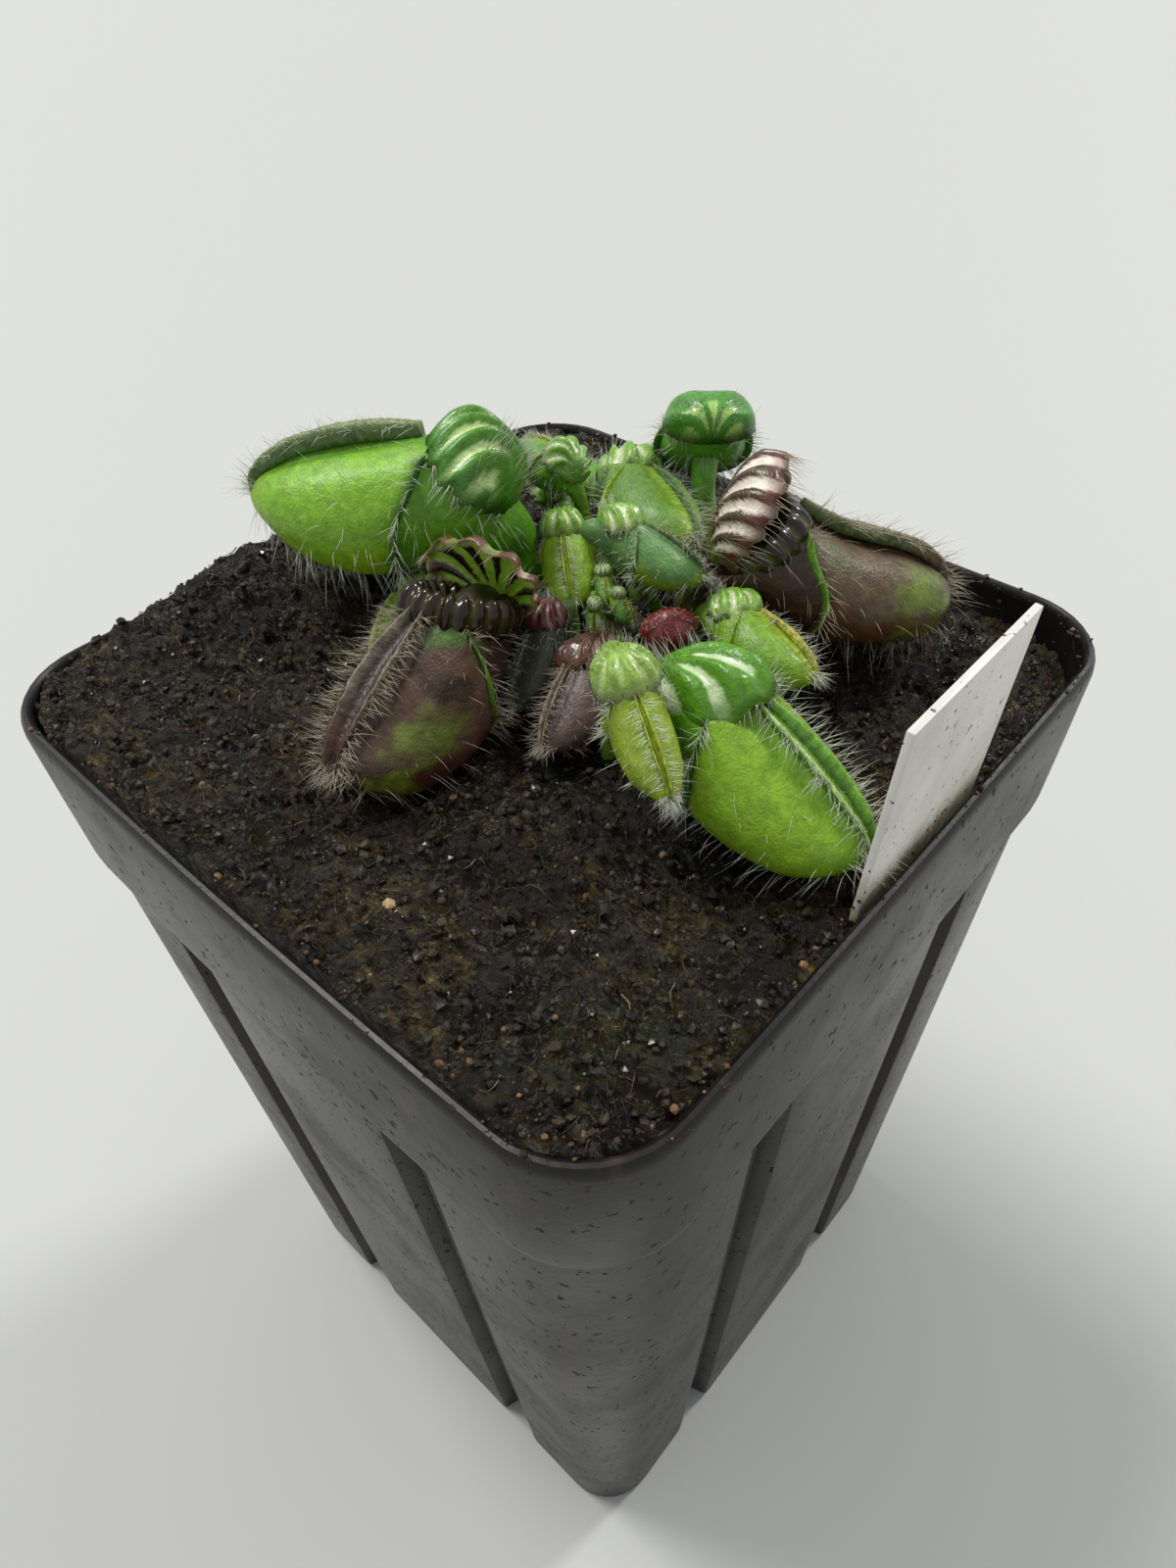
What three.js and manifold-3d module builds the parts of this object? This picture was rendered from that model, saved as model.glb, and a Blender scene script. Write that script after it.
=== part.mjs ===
// A potted pitcher plant: a rosette of moccasin-shaped pitchers on a crown in peat,
// in a tall square grooved plastic pot, with a blank plant label beside it.
// Millimetres, +Z up. The origin is the middle of the pot's underside, and the
// pot's sides lie along X and Y.

import * as THREE from 'three';
import { mergeVertices } from 'three/addons/utils/BufferGeometryUtils.js';
import Module from 'manifold-3d';

const wasm = await Module();
wasm.setup();

// ---------------------------------------------------------------- driving sizes

const GAP = 0.3;

const POT = {
  height: 130,
  rimSide: 90,
  rimCorner: 11,
  bandHeight: 20,
  bandStep: 0.8,
  bodyTopSide: 87.4,
  bodyTopCorner: 13,
  bottomSide: 77.6,
  bottomCorner: 8,
  wall: 1.1,
  lip: 1.5,
  floor: 1.6,
  footChamfer: 1.0,
};

const GROOVE = { inner: 14.5, width: 7, depth: 2.6, slope: 1.1 };

const DRAIN = { radius: 4, reach: 24 };

const SOIL = {
  depthBelowRim: 0.6,
  leftHeap: 4.6,
  mound: 0.8,
  rightDip: 4.5,
  crumb: 0.45,
  around: 44,
};

// Where the peat is pressed down under a pitcher: the middle, the spread and the depth.
const HOLLOWS = [
  [30, -6, 10, 3.6], [-1, -22, 7, 2.8], [-4, -14, 6, 3.6], [8, -10, 5, 1.7], [-17, -9.5, 6, 5.1],
  [1.2, -8, 4, 2],
];

const LABEL = {
  width: 21.2,
  thick: 0.8,
  x: 42.7,
  lean: 2.8,
  midY: 2.4,
  top: 19.6,
  pointStart: -38,
  tip: -52,
  corner: 0.8,
};

const CROWN = { x: 1, y: 9, radius: 3, height: 2.2, depth: 4 };

// Heights in the list below are above the rim of the pot.
const RIM = POT.height;

// Each leaf is one pitcher on its own stalk. `mouth` is the front of its mouth,
// `toe` is the tip of the cup, `faces` is where its front ridge looks, `root` is
// where its stalk enters the soil, and `open` is how far the lid is raised. The
// other values stand in for those of SHAPE.
const LEAVES = [
  { name: 'pitcher_back_left', mouth: [-20.5, 1.8, 19.4], toe: [-36.1, -11.6, 15.3],
    faces: [-0.365, 0.142, 0.92], root: [-10, 7.2], bends: [[-11.8, 5.4, 8.6], [-10.9, 6.3, 5]], detail: 'fine',
    hinge: [-0.345, -0.41], backSwell: 0.88, wide: 0.99, deep: 1.09, tilt: -15,
    lidWide: 1.09, lidLong: 0.94, lidHeight: 0.29, skirt: 0.11, colour: 0x4f9a2c },
  { name: 'pitcher_front_left', mouth: [-3.1, -15.3, 13.35], toe: [0.1, -31, 5.75],
    faces: [0.04, -0.429, 0.902], root: [-3.4, 3.4], bends: [[-5.5, -6, 8], [-4.2, -1.5, 5.5]], detail: 'fine',
    open: 48.7, hinge: [-0.38, -0.57], backSwell: 1.24, wide: 0.92, blunt: 0.8,
    lidWide: 1.36, lidLong: 0.75, lidHeight: 0.2, skirt: 0, colour: 0x5d463f },
  { name: 'pitcher_back_right', mouth: [14.6, 20.75, 15], toe: [27.1, 33.95, 4.5],
    faces: [0.022, 0.608, 0.793], root: [6.8, 13.2], bends: [[9.2, 13.2, 8], [7.4, 13.4, 4.6]], detail: 'fine',
    open: 20.5, hinge: [-0.206, -0.5], backSwell: 0.96, wide: 1.05, deep: 0.85, tilt: 32,
    sag: 0.038, frontBulge: 0.02, blunt: 0.86,
    lidWide: 1.12, lidLong: 1.32, lidHeight: 0.145, skirt: 0.11, colour: 0x5a4540 },
  { name: 'pitcher_front_right', mouth: [26.8, -3.6, 11.6], toe: [42, -4.3, 2.2],
    faces: [0.525, 0.056, 0.849], root: [8.2, 6.4], bends: [[16.6, -3, 5.6], [12.4, -2.4, 2.4]], detail: 'fine',
    hinge: [-0.34, -0.515], backSwell: 0.955, wide: 0.95, deep: 1.05, tilt: -5, blunt: 0.8,
    lidWide: 0.9, lidLong: 1.15, lidHeight: 0.22, skirt: 0.07, colour: 0x4aa11f },
  { name: 'pitcher_back', mouth: [-3.2, 28.9, 17.6], toe: [-11.6, 37.9, 10],
    faces: [-0.35, 0.4, 0.8], root: [4.4, 16.2], bends: [[1.2, 23.2, 11.6], [4, 21, 5.4]], detail: 'fine',
    deep: 0.7, lidWide: 1.2, lidHeight: 0.34, colour: 0x3f8f2b },
  { name: 'small_pitcher_front', mouth: [21.5, -12.8, 14.4], toe: [27.9, -15.7, 8.2],
    faces: [0.529, -0.405, 0.746], root: [13.4, -7.4], wide: 0.86,
    lidWide: 1.29, lidHeight: 0.24, skirt: 0.09, colour: 0xa3b83a },
  { name: 'small_pitcher_purple', mouth: [6.85, -5.35, 6.4], toe: [9.6, -13.4, 1.9],
    faces: [-0.346, -0.546, 0.763], root: [3.4, 2.6], deep: 0.92,
    lidWide: 1.12, lidLong: 1.15, lidHeight: 0.25, skirt: 0.09, colour: 0x5b4038 },
  { name: 'small_pitcher_dark', mouth: [-0.4, -4.05, 5.7], toe: [1.25, -9.4, 0.15],
    faces: [-0.437, -0.71, 0.553], root: [0.2, 2.2], deep: 0.86,
    lidWide: 1.06, lidLong: 0.9, lidHeight: 0.27, skirt: 0.1, colour: 0x465241 },
  { name: 'small_pitcher_red', mouth: [14.2, 1.8, 6.9], toe: [14.9, 2.7, 0.05],
    faces: [0.745, -0.667, -0.013], root: [8, 9.2],
    lidWide: 1.42, lidLong: 0.9, lidHeight: 0.26, skirt: 0.08, colour: 0x6e2a2c },
  { name: 'small_pitcher_glaucous', mouth: [5.75, 7.6, 15.45], toe: [12.95, 8.95, 11.85],
    faces: [0.219, 0.688, 0.692], root: [2.2, 13.4], deep: 0.9,
    lidWide: 1.1, lidLong: 0.94, lidHeight: 0.29, skirt: 0.1, colour: 0x5f9a4c },
  { name: 'small_pitcher_rear_centre', mouth: [-5.1, 22.05, 12.3], toe: [6.65, 15.85, 11.1],
    faces: [0.322, 0.453, 0.831], root: [-1.8, 14.8],
    lidWide: 0.94, lidLong: 0.94, lidHeight: 0.25, skirt: 0.1, colour: 0x6aa845 },
  { name: 'small_pitcher_centre', mouth: [-6.9, 8.3, 9.25], toe: [-1.4, 3.7, 5.1],
    faces: [0.285, -0.432, 0.856], root: [-3, 7.8], wide: 0.96,
    lidWide: 1.1, lidHeight: 0.25, skirt: 0.1, colour: 0x8cb63c },
  { name: 'small_pitcher_right', mouth: [19.15, 9.1, 10.2], toe: [27.9, 6.85, 8.1],
    faces: [0.32, 0.504, 0.802], root: [8.7, 11.3], bends: [[13.4, 8.2, 7.6], [10.6, 9.8, 4.2]], deep: 0.93,
    lidHeight: 0.24, skirt: 0.12, colour: 0x93b52a },
  { name: 'small_pitcher_left', mouth: [-19.15, -6.9, 4.2], toe: [-16.7, -13.65, -0.5],
    faces: [-0.6, -0.592, 0.538], root: [-6.6, 4.2],
    lidLong: 0.85, lidHeight: 0.13, skirt: 0.03, colour: 0x87a83c },
  { name: 'bud_pitcher_back', mouth: [-19.4, 20.3, 7.3], toe: [-19.7, 27.2, 6.6],
    faces: [-0.633, 0.05, 0.773], root: [-5.6, 15], bends: [[-14.5, 17.6, 4.6], [-9.6, 17, 3.4]],
    lidWide: 1.28, lidLong: 1.07, lidHeight: 0.29, skirt: 0.05, colour: 0x6fb43c },
  { name: 'bud_pitcher_back_left', mouth: [-13.7, 16.1, 14.35], toe: [-20.85, 17.6, 12.95],
    faces: [-0.034, 0.59, 0.806], root: [-3.2, 12.4], bends: [[-10.6, 14.6, 11], [-7.6, 14.2, 6]],
    lidWide: 1.29, lidLong: 1.15, lidHeight: 0.3, skirt: 0.09, colour: 0x7fb848 },
];

// The pitcher's shape, as shares of the length from mouth to toe. `hinge` is the
// back of the mouth. `backAlong` and `backDepth` are its back seen from the side,
// and `half` is half its width there.
const SHAPE = {
  frontBulge: 0.05,
  sag: 0,
  hinge: [-0.46, -0.43],
  backAlong: [-0.25, 0.05, 0.42, 0.78, 1.02],
  backDepth: [-0.6, -0.68, -0.66, -0.5, -0.34],
  backSwell: 1,
  half: [0.29, 0.315, 0.345, 0.345, 0.29, 0.24],
  blunt: 0.7,
  toeDrop: 0.1,
  narrowFront: 0.12,
  wall: 0.05,
  lidHeight: 0.28,
  lidReach: 1.06,
  lidWide: 1,
  lidLong: 1,
  skirt: 0,
  tilt: 0,
  lidRibs: 7,
  lidRibHeight: 0.018,
  ridgeHalf: 0.1,
  ridgeHeight: 0.055,
  ridgeSunk: 0.06,
  wingHeight: 0.06,
  wingHalf: 0.02,
  mouthRibs: 14,
  mouthRoll: 0.06,
  mouthTooth: 0.12,
  ribFan: 1.15,
  stalk: 0.085,
  stalkFlare: 0.15,
  stalkRoot: 0.9,
  stalkDepth: 4,
  stalkHole: 1.6,
};

// The smallest pitchers, still joined to the crown.
const BUDS = [
  { mouth: [-0.6, 8.2, 6.4], toe: [1.4, 6.6, 4.4], faces: [0.5, -0.3, 0.8] },
  { mouth: [3.2, 7, 5.8], toe: [5, 6.6, 3.6], faces: [0.6, 0.2, 0.7] },
  { mouth: [1.6, 3.9, 5], toe: [2.2, 3.4, 2.2], faces: [0.4, -0.6, 0.6] },
];

// Where a side wing runs: how far along the cup, and how far round from the front.
const WING_PATH = [[0.04, 55], [0.2, 75], [0.385, 101], [0.48, 130], [0.53, 165]];

// ---------------------------------------------------------------- solids

function loft(rings, closed = false) {
  const count = rings[0].length;
  const points = rings.flat();
  const index = [];
  const spans = closed ? rings.length : rings.length - 1;
  for (let i = 0; i < spans; i++) {
    const low = i * count;
    const high = ((i + 1) % rings.length) * count;
    for (let j = 0; j < count; j++) {
      const next = (j + 1) % count;
      index.push(low + j, low + next, high + next, low + j, high + next, high + j);
    }
  }
  if (!closed) {
    for (const [first, flip] of [[0, true], [(rings.length - 1) * count, false]]) {
      const middle = new THREE.Vector3();
      for (let j = 0; j < count; j++) middle.addScaledVector(points[first + j], 1 / count);
      const hub = points.push(middle) - 1;
      for (let j = 0; j < count; j++) {
        const a = first + j;
        const b = first + (j + 1) % count;
        index.push(...(flip ? [hub, b, a] : [hub, a, b]));
      }
    }
  }
  if (volume(points, index) < 0) index.reverse();
  const geometry = new THREE.BufferGeometry().setFromPoints(points);
  geometry.setIndex(index);
  return geometry;
}

function volume(points, index) {
  let sum = 0;
  for (let i = 0; i < index.length; i += 3) {
    const [a, b, c] = [points[index[i]], points[index[i + 1]], points[index[i + 2]]];
    sum += a.dot(b.clone().cross(c));
  }
  return sum;
}

function solid(geometry) {
  return new wasm.Manifold(new wasm.Mesh({
    numProp: 3,
    vertProperties: new Float32Array(geometry.attributes.position.array),
    triVerts: new Uint32Array(geometry.index.array),
  }));
}

function named(name, body, finish) {
  const { vertProperties, triVerts } = body.getMesh();
  const geometry = new THREE.BufferGeometry();
  geometry.setAttribute('position', new THREE.BufferAttribute(vertProperties, 3));
  geometry.setIndex(new THREE.BufferAttribute(triVerts, 1));
  const mesh = new THREE.Mesh(geometry, new THREE.MeshStandardMaterial(finish));
  mesh.name = name;
  return mesh;
}

function along(values, share) {
  const place = THREE.MathUtils.clamp(share, 0, 1) * (values.length - 1);
  const i = Math.min(Math.floor(place), values.length - 2);
  const before = values[Math.max(i - 1, 0)];
  const after = values[Math.min(i + 2, values.length - 1)];
  const u = place - i;
  const [a, b] = [values[i], values[i + 1]];
  const curve = 2 * a + (b - before) * u + (2 * before - 5 * a + 4 * b - after) * u * u
    + (3 * a - before - 3 * b + after) * u * u * u;
  return curve / 2;
}

// ---------------------------------------------------------------- the pot

// A square with round corners, as one ring of points at height z.
function squareRing(side, corner, z, arc = 5) {
  const ring = [];
  const reach = side / 2 - corner;
  for (const turn of [0, 1, 2, 3]) {
    const [cx, cy] = [[1, 1], [-1, 1], [-1, -1], [1, -1]][turn];
    for (let k = 0; k <= arc; k++) {
      const angle = (turn + k / arc) * Math.PI / 2;
      ring.push(new THREE.Vector3(
        cx * reach + corner * Math.cos(angle), cy * reach + corner * Math.sin(angle), z));
    }
  }
  return ring;
}

const bandFoot = POT.height - POT.bandHeight;

function bodySide(z) {
  return THREE.MathUtils.mapLinear(z, 0, bandFoot, POT.bottomSide, POT.bodyTopSide);
}

function bodyCorner(z) {
  return THREE.MathUtils.mapLinear(z, 0, bandFoot, POT.bottomCorner, POT.bodyTopCorner);
}

// The room inside the pot, drawn in by `inset` all round.
function potInside(inset, top) {
  const take = 2 * (POT.wall + inset);
  const bandInside = POT.rimSide - 2 * POT.lip - 2 * inset;
  const foot = POT.floor + inset;
  return solid(loft([
    squareRing(bodySide(foot) - take, bodyCorner(foot) - 1, foot),
    squareRing(bodySide(bandFoot - 1) - take, bodyCorner(bandFoot) - 1, bandFoot - 1),
    squareRing(bandInside, POT.rimCorner - 1.2, bandFoot + 1.5),
    squareRing(bandInside, POT.rimCorner - 1.2, top),
  ]));
}

// A straight channel down one face of the pot: `swell` makes it wider and deeper.
function channel(turn, offset, swell) {
  const spin = new THREE.Matrix4().makeRotationZ(turn * Math.PI / 2);
  const rings = [-2, bandFoot - 0.2 + swell].map((z) => {
    const face = bodySide(z) / 2;
    const half = GROOVE.width / 2 + swell;
    const floorHalf = half - GROOVE.slope;
    const deep = face - GROOVE.depth - swell;
    const out = face + 3;
    return [[deep, -floorHalf], [face, -half], [out, -half], [out, half], [face, half], [deep, floorHalf]]
      .map(([x, y]) => new THREE.Vector3(x, offset + y, z).applyMatrix4(spin));
  });
  return solid(loft(rings));
}

function channels(swell) {
  const middle = GROOVE.inner + GROOVE.width / 2;
  const all = [0, 1, 2, 3].flatMap((turn) => [-middle, middle].map((y) => channel(turn, y, swell)));
  return all.reduce((sum, one) => sum.add(one));
}

function makePot() {
  const shell = solid(loft([
    squareRing(POT.bottomSide - 2 * POT.footChamfer, POT.bottomCorner - POT.footChamfer, 0),
    squareRing(bodySide(POT.footChamfer), bodyCorner(POT.footChamfer), POT.footChamfer),
    squareRing(POT.bodyTopSide, POT.bodyTopCorner, bandFoot),
    squareRing(POT.bodyTopSide + 2 * POT.bandStep, POT.rimCorner + 1, bandFoot + 0.5),
    squareRing(POT.rimSide, POT.rimCorner, POT.height - 1),
    squareRing(POT.rimSide - 0.8, POT.rimCorner - 0.4, POT.height),
  ]));
  const room = potInside(0, POT.height + 5).subtract(channels(POT.wall));
  let pot = shell.subtract(room).subtract(channels(0));
  for (const [dx, dy] of [[0, 0], [1, 1], [-1, 1], [-1, -1], [1, -1]]) {
    const hole = new THREE.CylinderGeometry(DRAIN.radius, DRAIN.radius, 3 * POT.floor, 16);
    hole.rotateX(Math.PI / 2);
    hole.translate(dx * DRAIN.reach, dy * DRAIN.reach, POT.floor / 2);
    pot = pot.subtract(solid(weld(hole)));
  }
  return pot;
}

// Joins the doubled points of a stock geometry, keeping only its positions.
function weld(geometry) {
  geometry.deleteAttribute('normal');
  geometry.deleteAttribute('uv');
  return mergeVertices(geometry);
}

// ---------------------------------------------------------------- the soil

// A round swelling of the ground, 1 at its middle.
function bump(x, y, middleX, middleY, spread) {
  return Math.exp(-((x - middleX) ** 2 + (y - middleY) ** 2) / spread ** 2);
}

// Height of the peat at a place, above the rim: heaped at the left, lower at the
// right and along the label, hollowed under the heavy pitchers, rough all over.
function soilTop(x, y) {
  const half = POT.rimSide / 2;
  const edge = THREE.MathUtils.smoothstep(half - Math.max(Math.abs(x), Math.abs(y)), 0, 5);
  const heap = SOIL.leftHeap * bump(x, y, -40, -12, 17) * (0.5 + 0.5 * edge)
    + SOIL.mound * bump(x, y, CROWN.x, CROWN.y, 16);
  const hollow = HOLLOWS
    .reduce((sum, [middleX, middleY, spread, deep]) => sum + deep * bump(x, y, middleX, middleY, spread), 0);
  const dip = SOIL.rightDip * Math.max(0, (0.8 * x + 0.45 * y) / half - 0.2);
  const rough = Math.sin(x * 1.1 + 2 * Math.sin(y * 0.5)) * Math.cos(y * 0.9 + Math.sin(x * 0.7))
    + 0.6 * Math.sin(x * 2.3 - y * 1.7);
  return -SOIL.depthBelowRim + heap - hollow - dip + SOIL.crumb * rough;
}

// Evenly spaced points round a square with round corners.
function spacedSquare(side, corner, count) {
  const reach = side / 2 - corner;
  const outline = new THREE.Shape();
  for (const turn of [0, 1, 2, 3]) {
    const [cx, cy] = [[1, 1], [-1, 1], [-1, -1], [1, -1]][turn];
    outline.absarc(cx * reach, cy * reach, corner, turn * Math.PI / 2, (turn + 1) * Math.PI / 2);
  }
  outline.closePath();
  return outline.getSpacedPoints(count).slice(0, count);
}

function makeSoil(holes) {
  const top = 8;
  const side = POT.rimSide - 2 * POT.lip - 2 * GAP;
  const steps = [0.08, 0.24, 0.4, 0.54, 0.67, 0.79, 0.9, 1];
  const edge = spacedSquare(side, POT.rimCorner - 1.4, SOIL.around);
  const rings = steps.map((share) => edge.map(({ x, y }, j) => {
    const roundness = 1 - share;
    const angle = Math.atan2(y, x);
    const px = share * THREE.MathUtils.lerp(x, Math.cos(angle) * side / 2, roundness);
    const py = share * THREE.MathUtils.lerp(y, Math.sin(angle) * side / 2, roundness);
    return new THREE.Vector3(px, py, RIM + soilTop(px, py));
  }));
  const bottom = edge.map(({ x, y }) => new THREE.Vector3(x, y, POT.floor + GAP - 2));
  const block = solid(loft([...rings, bottom]));
  const room = potInside(GAP, POT.height + top).subtract(channels(POT.wall + GAP));
  return holes.reduce((sum, hole) => sum.subtract(hole), block.intersect(room));
}

// ---------------------------------------------------------------- the label

function makeLabel(swell) {
  const half = LABEL.width / 2 + swell;
  const outline = new THREE.Shape();
  const top = LABEL.top + swell;
  outline.moveTo(0, LABEL.tip - 1.7 * swell);
  outline.lineTo(half, LABEL.pointStart);
  outline.lineTo(half, top - LABEL.corner);
  outline.lineTo(half - LABEL.corner, top);
  outline.lineTo(-half + LABEL.corner, top);
  outline.lineTo(-half, top - LABEL.corner);
  outline.lineTo(-half, LABEL.pointStart);
  const plate = new THREE.ExtrudeGeometry(outline, { depth: LABEL.thick + 2 * swell, bevelEnabled: false });
  plate.translate(0, 0, -LABEL.thick / 2 - swell);
  plate.applyMatrix4(new THREE.Matrix4().makeBasis(
    new THREE.Vector3(0, 1, 0), new THREE.Vector3(0, 0, 1), new THREE.Vector3(1, 0, 0)));
  plate.rotateY(THREE.MathUtils.degToRad(LABEL.lean));
  plate.translate(LABEL.x, LABEL.midY, RIM);
  return solid(weld(plate));
}

// ---------------------------------------------------------------- the pitchers

// A pitcher's own directions: `out` from mouth to toe, `front` where its ridge
// looks, `side` across it, and `size` the length from mouth to toe.
function leafFrame(leaf) {
  const mouth = new THREE.Vector3(...leaf.mouth);
  const toe = new THREE.Vector3(...leaf.toe);
  const out = toe.clone().sub(mouth);
  const size = out.length();
  out.normalize();
  const front = new THREE.Vector3(...leaf.faces);
  front.addScaledVector(out, -front.dot(out)).normalize();
  const side = out.clone().cross(front);
  mouth.z += RIM;
  const place = (a, f, s) => mouth.clone()
    .addScaledVector(out, a * size)
    .addScaledVector(front, f * size * (leaf.deep ?? 1))
    .addScaledVector(side, s * size * (leaf.wide ?? 1));
  const shape = { ...SHAPE, ...leaf };
  shape.backAlong = [shape.hinge[0], ...SHAPE.backAlong];
  shape.backDepth = [shape.hinge[1], ...SHAPE.backDepth.map((depth) => depth * shape.backSwell)];
  return { place, size, shape };
}

// A point of the cup, in shares of its size: t runs from mouth to toe, angle runs
// round from the front, and inset draws it inwards.
function cupPoint(shape, t, angle, inset = 0) {
  const rounding = Math.max(0, t - shape.blunt) / (1 - shape.blunt);
  const closing = Math.sqrt(Math.max(0.0009, 1 - rounding ** 2));
  const frontA = t;
  const frontF = shape.frontBulge * Math.sin(Math.PI * Math.min(t, 1))
    - shape.sag * Math.sin(2 * Math.PI * t) - shape.toeDrop * (1 - closing);
  const backA = frontA + (along(shape.backAlong, t) - frontA) * closing;
  const backF = frontF + (along(shape.backDepth, t) - frontF) * closing;
  const length = Math.hypot(frontA - backA, frontF - backF);
  const keep = Math.max(0.1, 1 - 2 * inset / length);
  const c = Math.cos(angle) * keep;
  const half = Math.max(0.01, along(shape.half, t) * closing - inset);
  return [
    (frontA + backA) / 2 + (frontA - backA) / 2 * c,
    (frontF + backF) / 2 + (frontF - backF) / 2 * c,
    half * Math.sin(angle) * (1 - shape.narrowFront * Math.cos(angle)),
  ];
}

function turns(count) {
  return Array.from({ length: count }, (_, j) => 2 * Math.PI * j / count);
}

// The outside of the cup, or its inside when drawn in by `inset`.
function cupRings({ place, shape }, steps, around, inset = 0) {
  return steps.map((t) => turns(around).map((angle) => place(...cupPoint(shape, t, angle, inset))));
}

// The mouth's own directions: from the hinge to the front lip, and up out of it.
function mouthPlane({ hinge: [hingeA, hingeF] }) {
  const length = Math.hypot(hingeA, hingeF);
  return { length, across: [-hingeA / length, -hingeF / length], up: [hingeF / length, -hingeA / length] };
}

// A point of the lid's dome: share 0 is its middle, 1 is its margin, which hangs at
// the sides. The lid turns up about the hinge and tilts sideways, and its ribs fan
// out from the hinge.
function lidPoint(shape, share, angle, sink = 0) {
  const { length, across, up } = mouthPlane(shape);
  const fan = Math.atan2(Math.sin(angle) * share, Math.cos(angle) * share + shape.ribFan);
  const rib = shape.lidRibHeight * Math.cos(2 * shape.lidRibs * fan) * Math.min(1, 1.6 * share);
  const dome = shape.lidHeight * Math.max(0, 1 - share ** 2.6) ** (1 / 2.2);
  const hang = shape.skirt * share ** 4 * Math.sin(angle) ** 2;
  const height = dome - hang + rib * (sink ? 0.6 : 1) - sink;
  const reach = share * (shape.lidReach + rib - sink * 0.6);
  const wide = shape.half[0] * Math.sin(angle) * reach * shape.lidWide;
  const tilt = THREE.MathUtils.degToRad(shape.tilt);
  const open = THREE.MathUtils.degToRad(shape.open ?? 0);
  const forward = (1 + Math.cos(angle) * reach) / 2 * length * shape.lidLong;
  const risen = wide * Math.sin(tilt) + height * Math.cos(tilt);
  const over = forward * Math.cos(open) - risen * Math.sin(open);
  const high = forward * Math.sin(open) + risen * Math.cos(open);
  return [
    shape.hinge[0] + over * across[0] + high * up[0],
    shape.hinge[1] + over * across[1] + high * up[1],
    wide * Math.cos(tilt) - height * Math.sin(tilt),
  ];
}

function lidRings({ place, shape }, steps, around, sink = 0) {
  return steps.map((share) => turns(around)
    .map((angle) => place(...lidPoint(shape, share * (sink ? 0.97 : 1), angle, sink))));
}

// The rolled rim of an open mouth, ribbed all round, with a tooth under each rib.
function mouthRim({ place, shape }) {
  const around = 3 * shape.mouthRibs;
  const { up } = mouthPlane(shape);
  const rings = turns(around).map((angle, j) => {
    const rib = 0.5 + 0.5 * Math.cos(2 * Math.PI * j / 3);
    const [a, f, s] = cupPoint(shape, 0, angle);
    const [midA, midF] = [shape.hinge[0] / 2, shape.hinge[1] / 2];
    const roll = shape.mouthRoll * (0.75 + 0.35 * rib);
    return turns(5).map((turn) => {
      const inward = 1 + (roll * Math.cos(turn) - 0.02 - (Math.sin(turn) < -0.5 ? shape.mouthTooth * rib : 0)) / 0.3;
      const lift = roll * Math.sin(turn) * (Math.sin(turn) < -0.5 ? 1.5 : 1);
      return place(
        midA + (a - midA) * inward + up[0] * lift,
        midF + (f - midF) * inward + up[1] * lift,
        s * inward,
      );
    });
  });
  return solid(loft(rings, true));
}

// The raised double ridge down the front: a strip with two lips, on a narrow keel.
function frontRidge({ place, shape }, count) {
  const rings = [];
  for (let i = 0; i <= count; i++) {
    const t = 0.02 + 0.96 * i / count;
    const swell = Math.sin(Math.PI * (0.12 + 0.8 * i / count));
    const half = shape.ridgeHalf * swell;
    const high = shape.ridgeHeight * (0.5 + 0.5 * swell);
    const [a, f] = cupPoint(shape, t, 0);
    const foot = -shape.ridgeSunk;
    const section = [[foot, -0.6], [high, -1], [high * 0.7, 0], [high, 1], [foot, 0.6]];
    rings.push(section.map(([rise, across]) => place(a, f + rise, half * across)));
  }
  return solid(loft(rings));
}

// One side wing: a thin keel curving from the mouth down to the belly.
function sideWing({ place, shape }, mirror, count) {
  const rings = [];
  for (let i = 0; i <= count; i++) {
    const t = along(WING_PATH.map(([share]) => share), i / count);
    const angle = mirror * THREE.MathUtils.degToRad(along(WING_PATH.map(([, turn]) => turn), i / count));
    const high = shape.wingHeight * (0.45 + 0.55 * Math.sin(Math.PI * (0.15 + 0.7 * i / count)));
    rings.push([[-0.05, -1], [high, -0.6], [high, 0.6], [-0.05, 1]].map(([rise, across]) => {
      const shift = across * shape.wingHalf;
      const [a, f, s] = cupPoint(shape, t + shift, angle);
      const [midA, midF] = cupPoint(shape, t + shift, Math.PI / 2);
      const away = Math.hypot(a - midA, f - midF, s);
      const grow = rise / away;
      return place(a + (a - midA) * grow, f + (f - midF) * grow, s + s * grow);
    }));
  }
  return solid(loft(rings));
}

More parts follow.
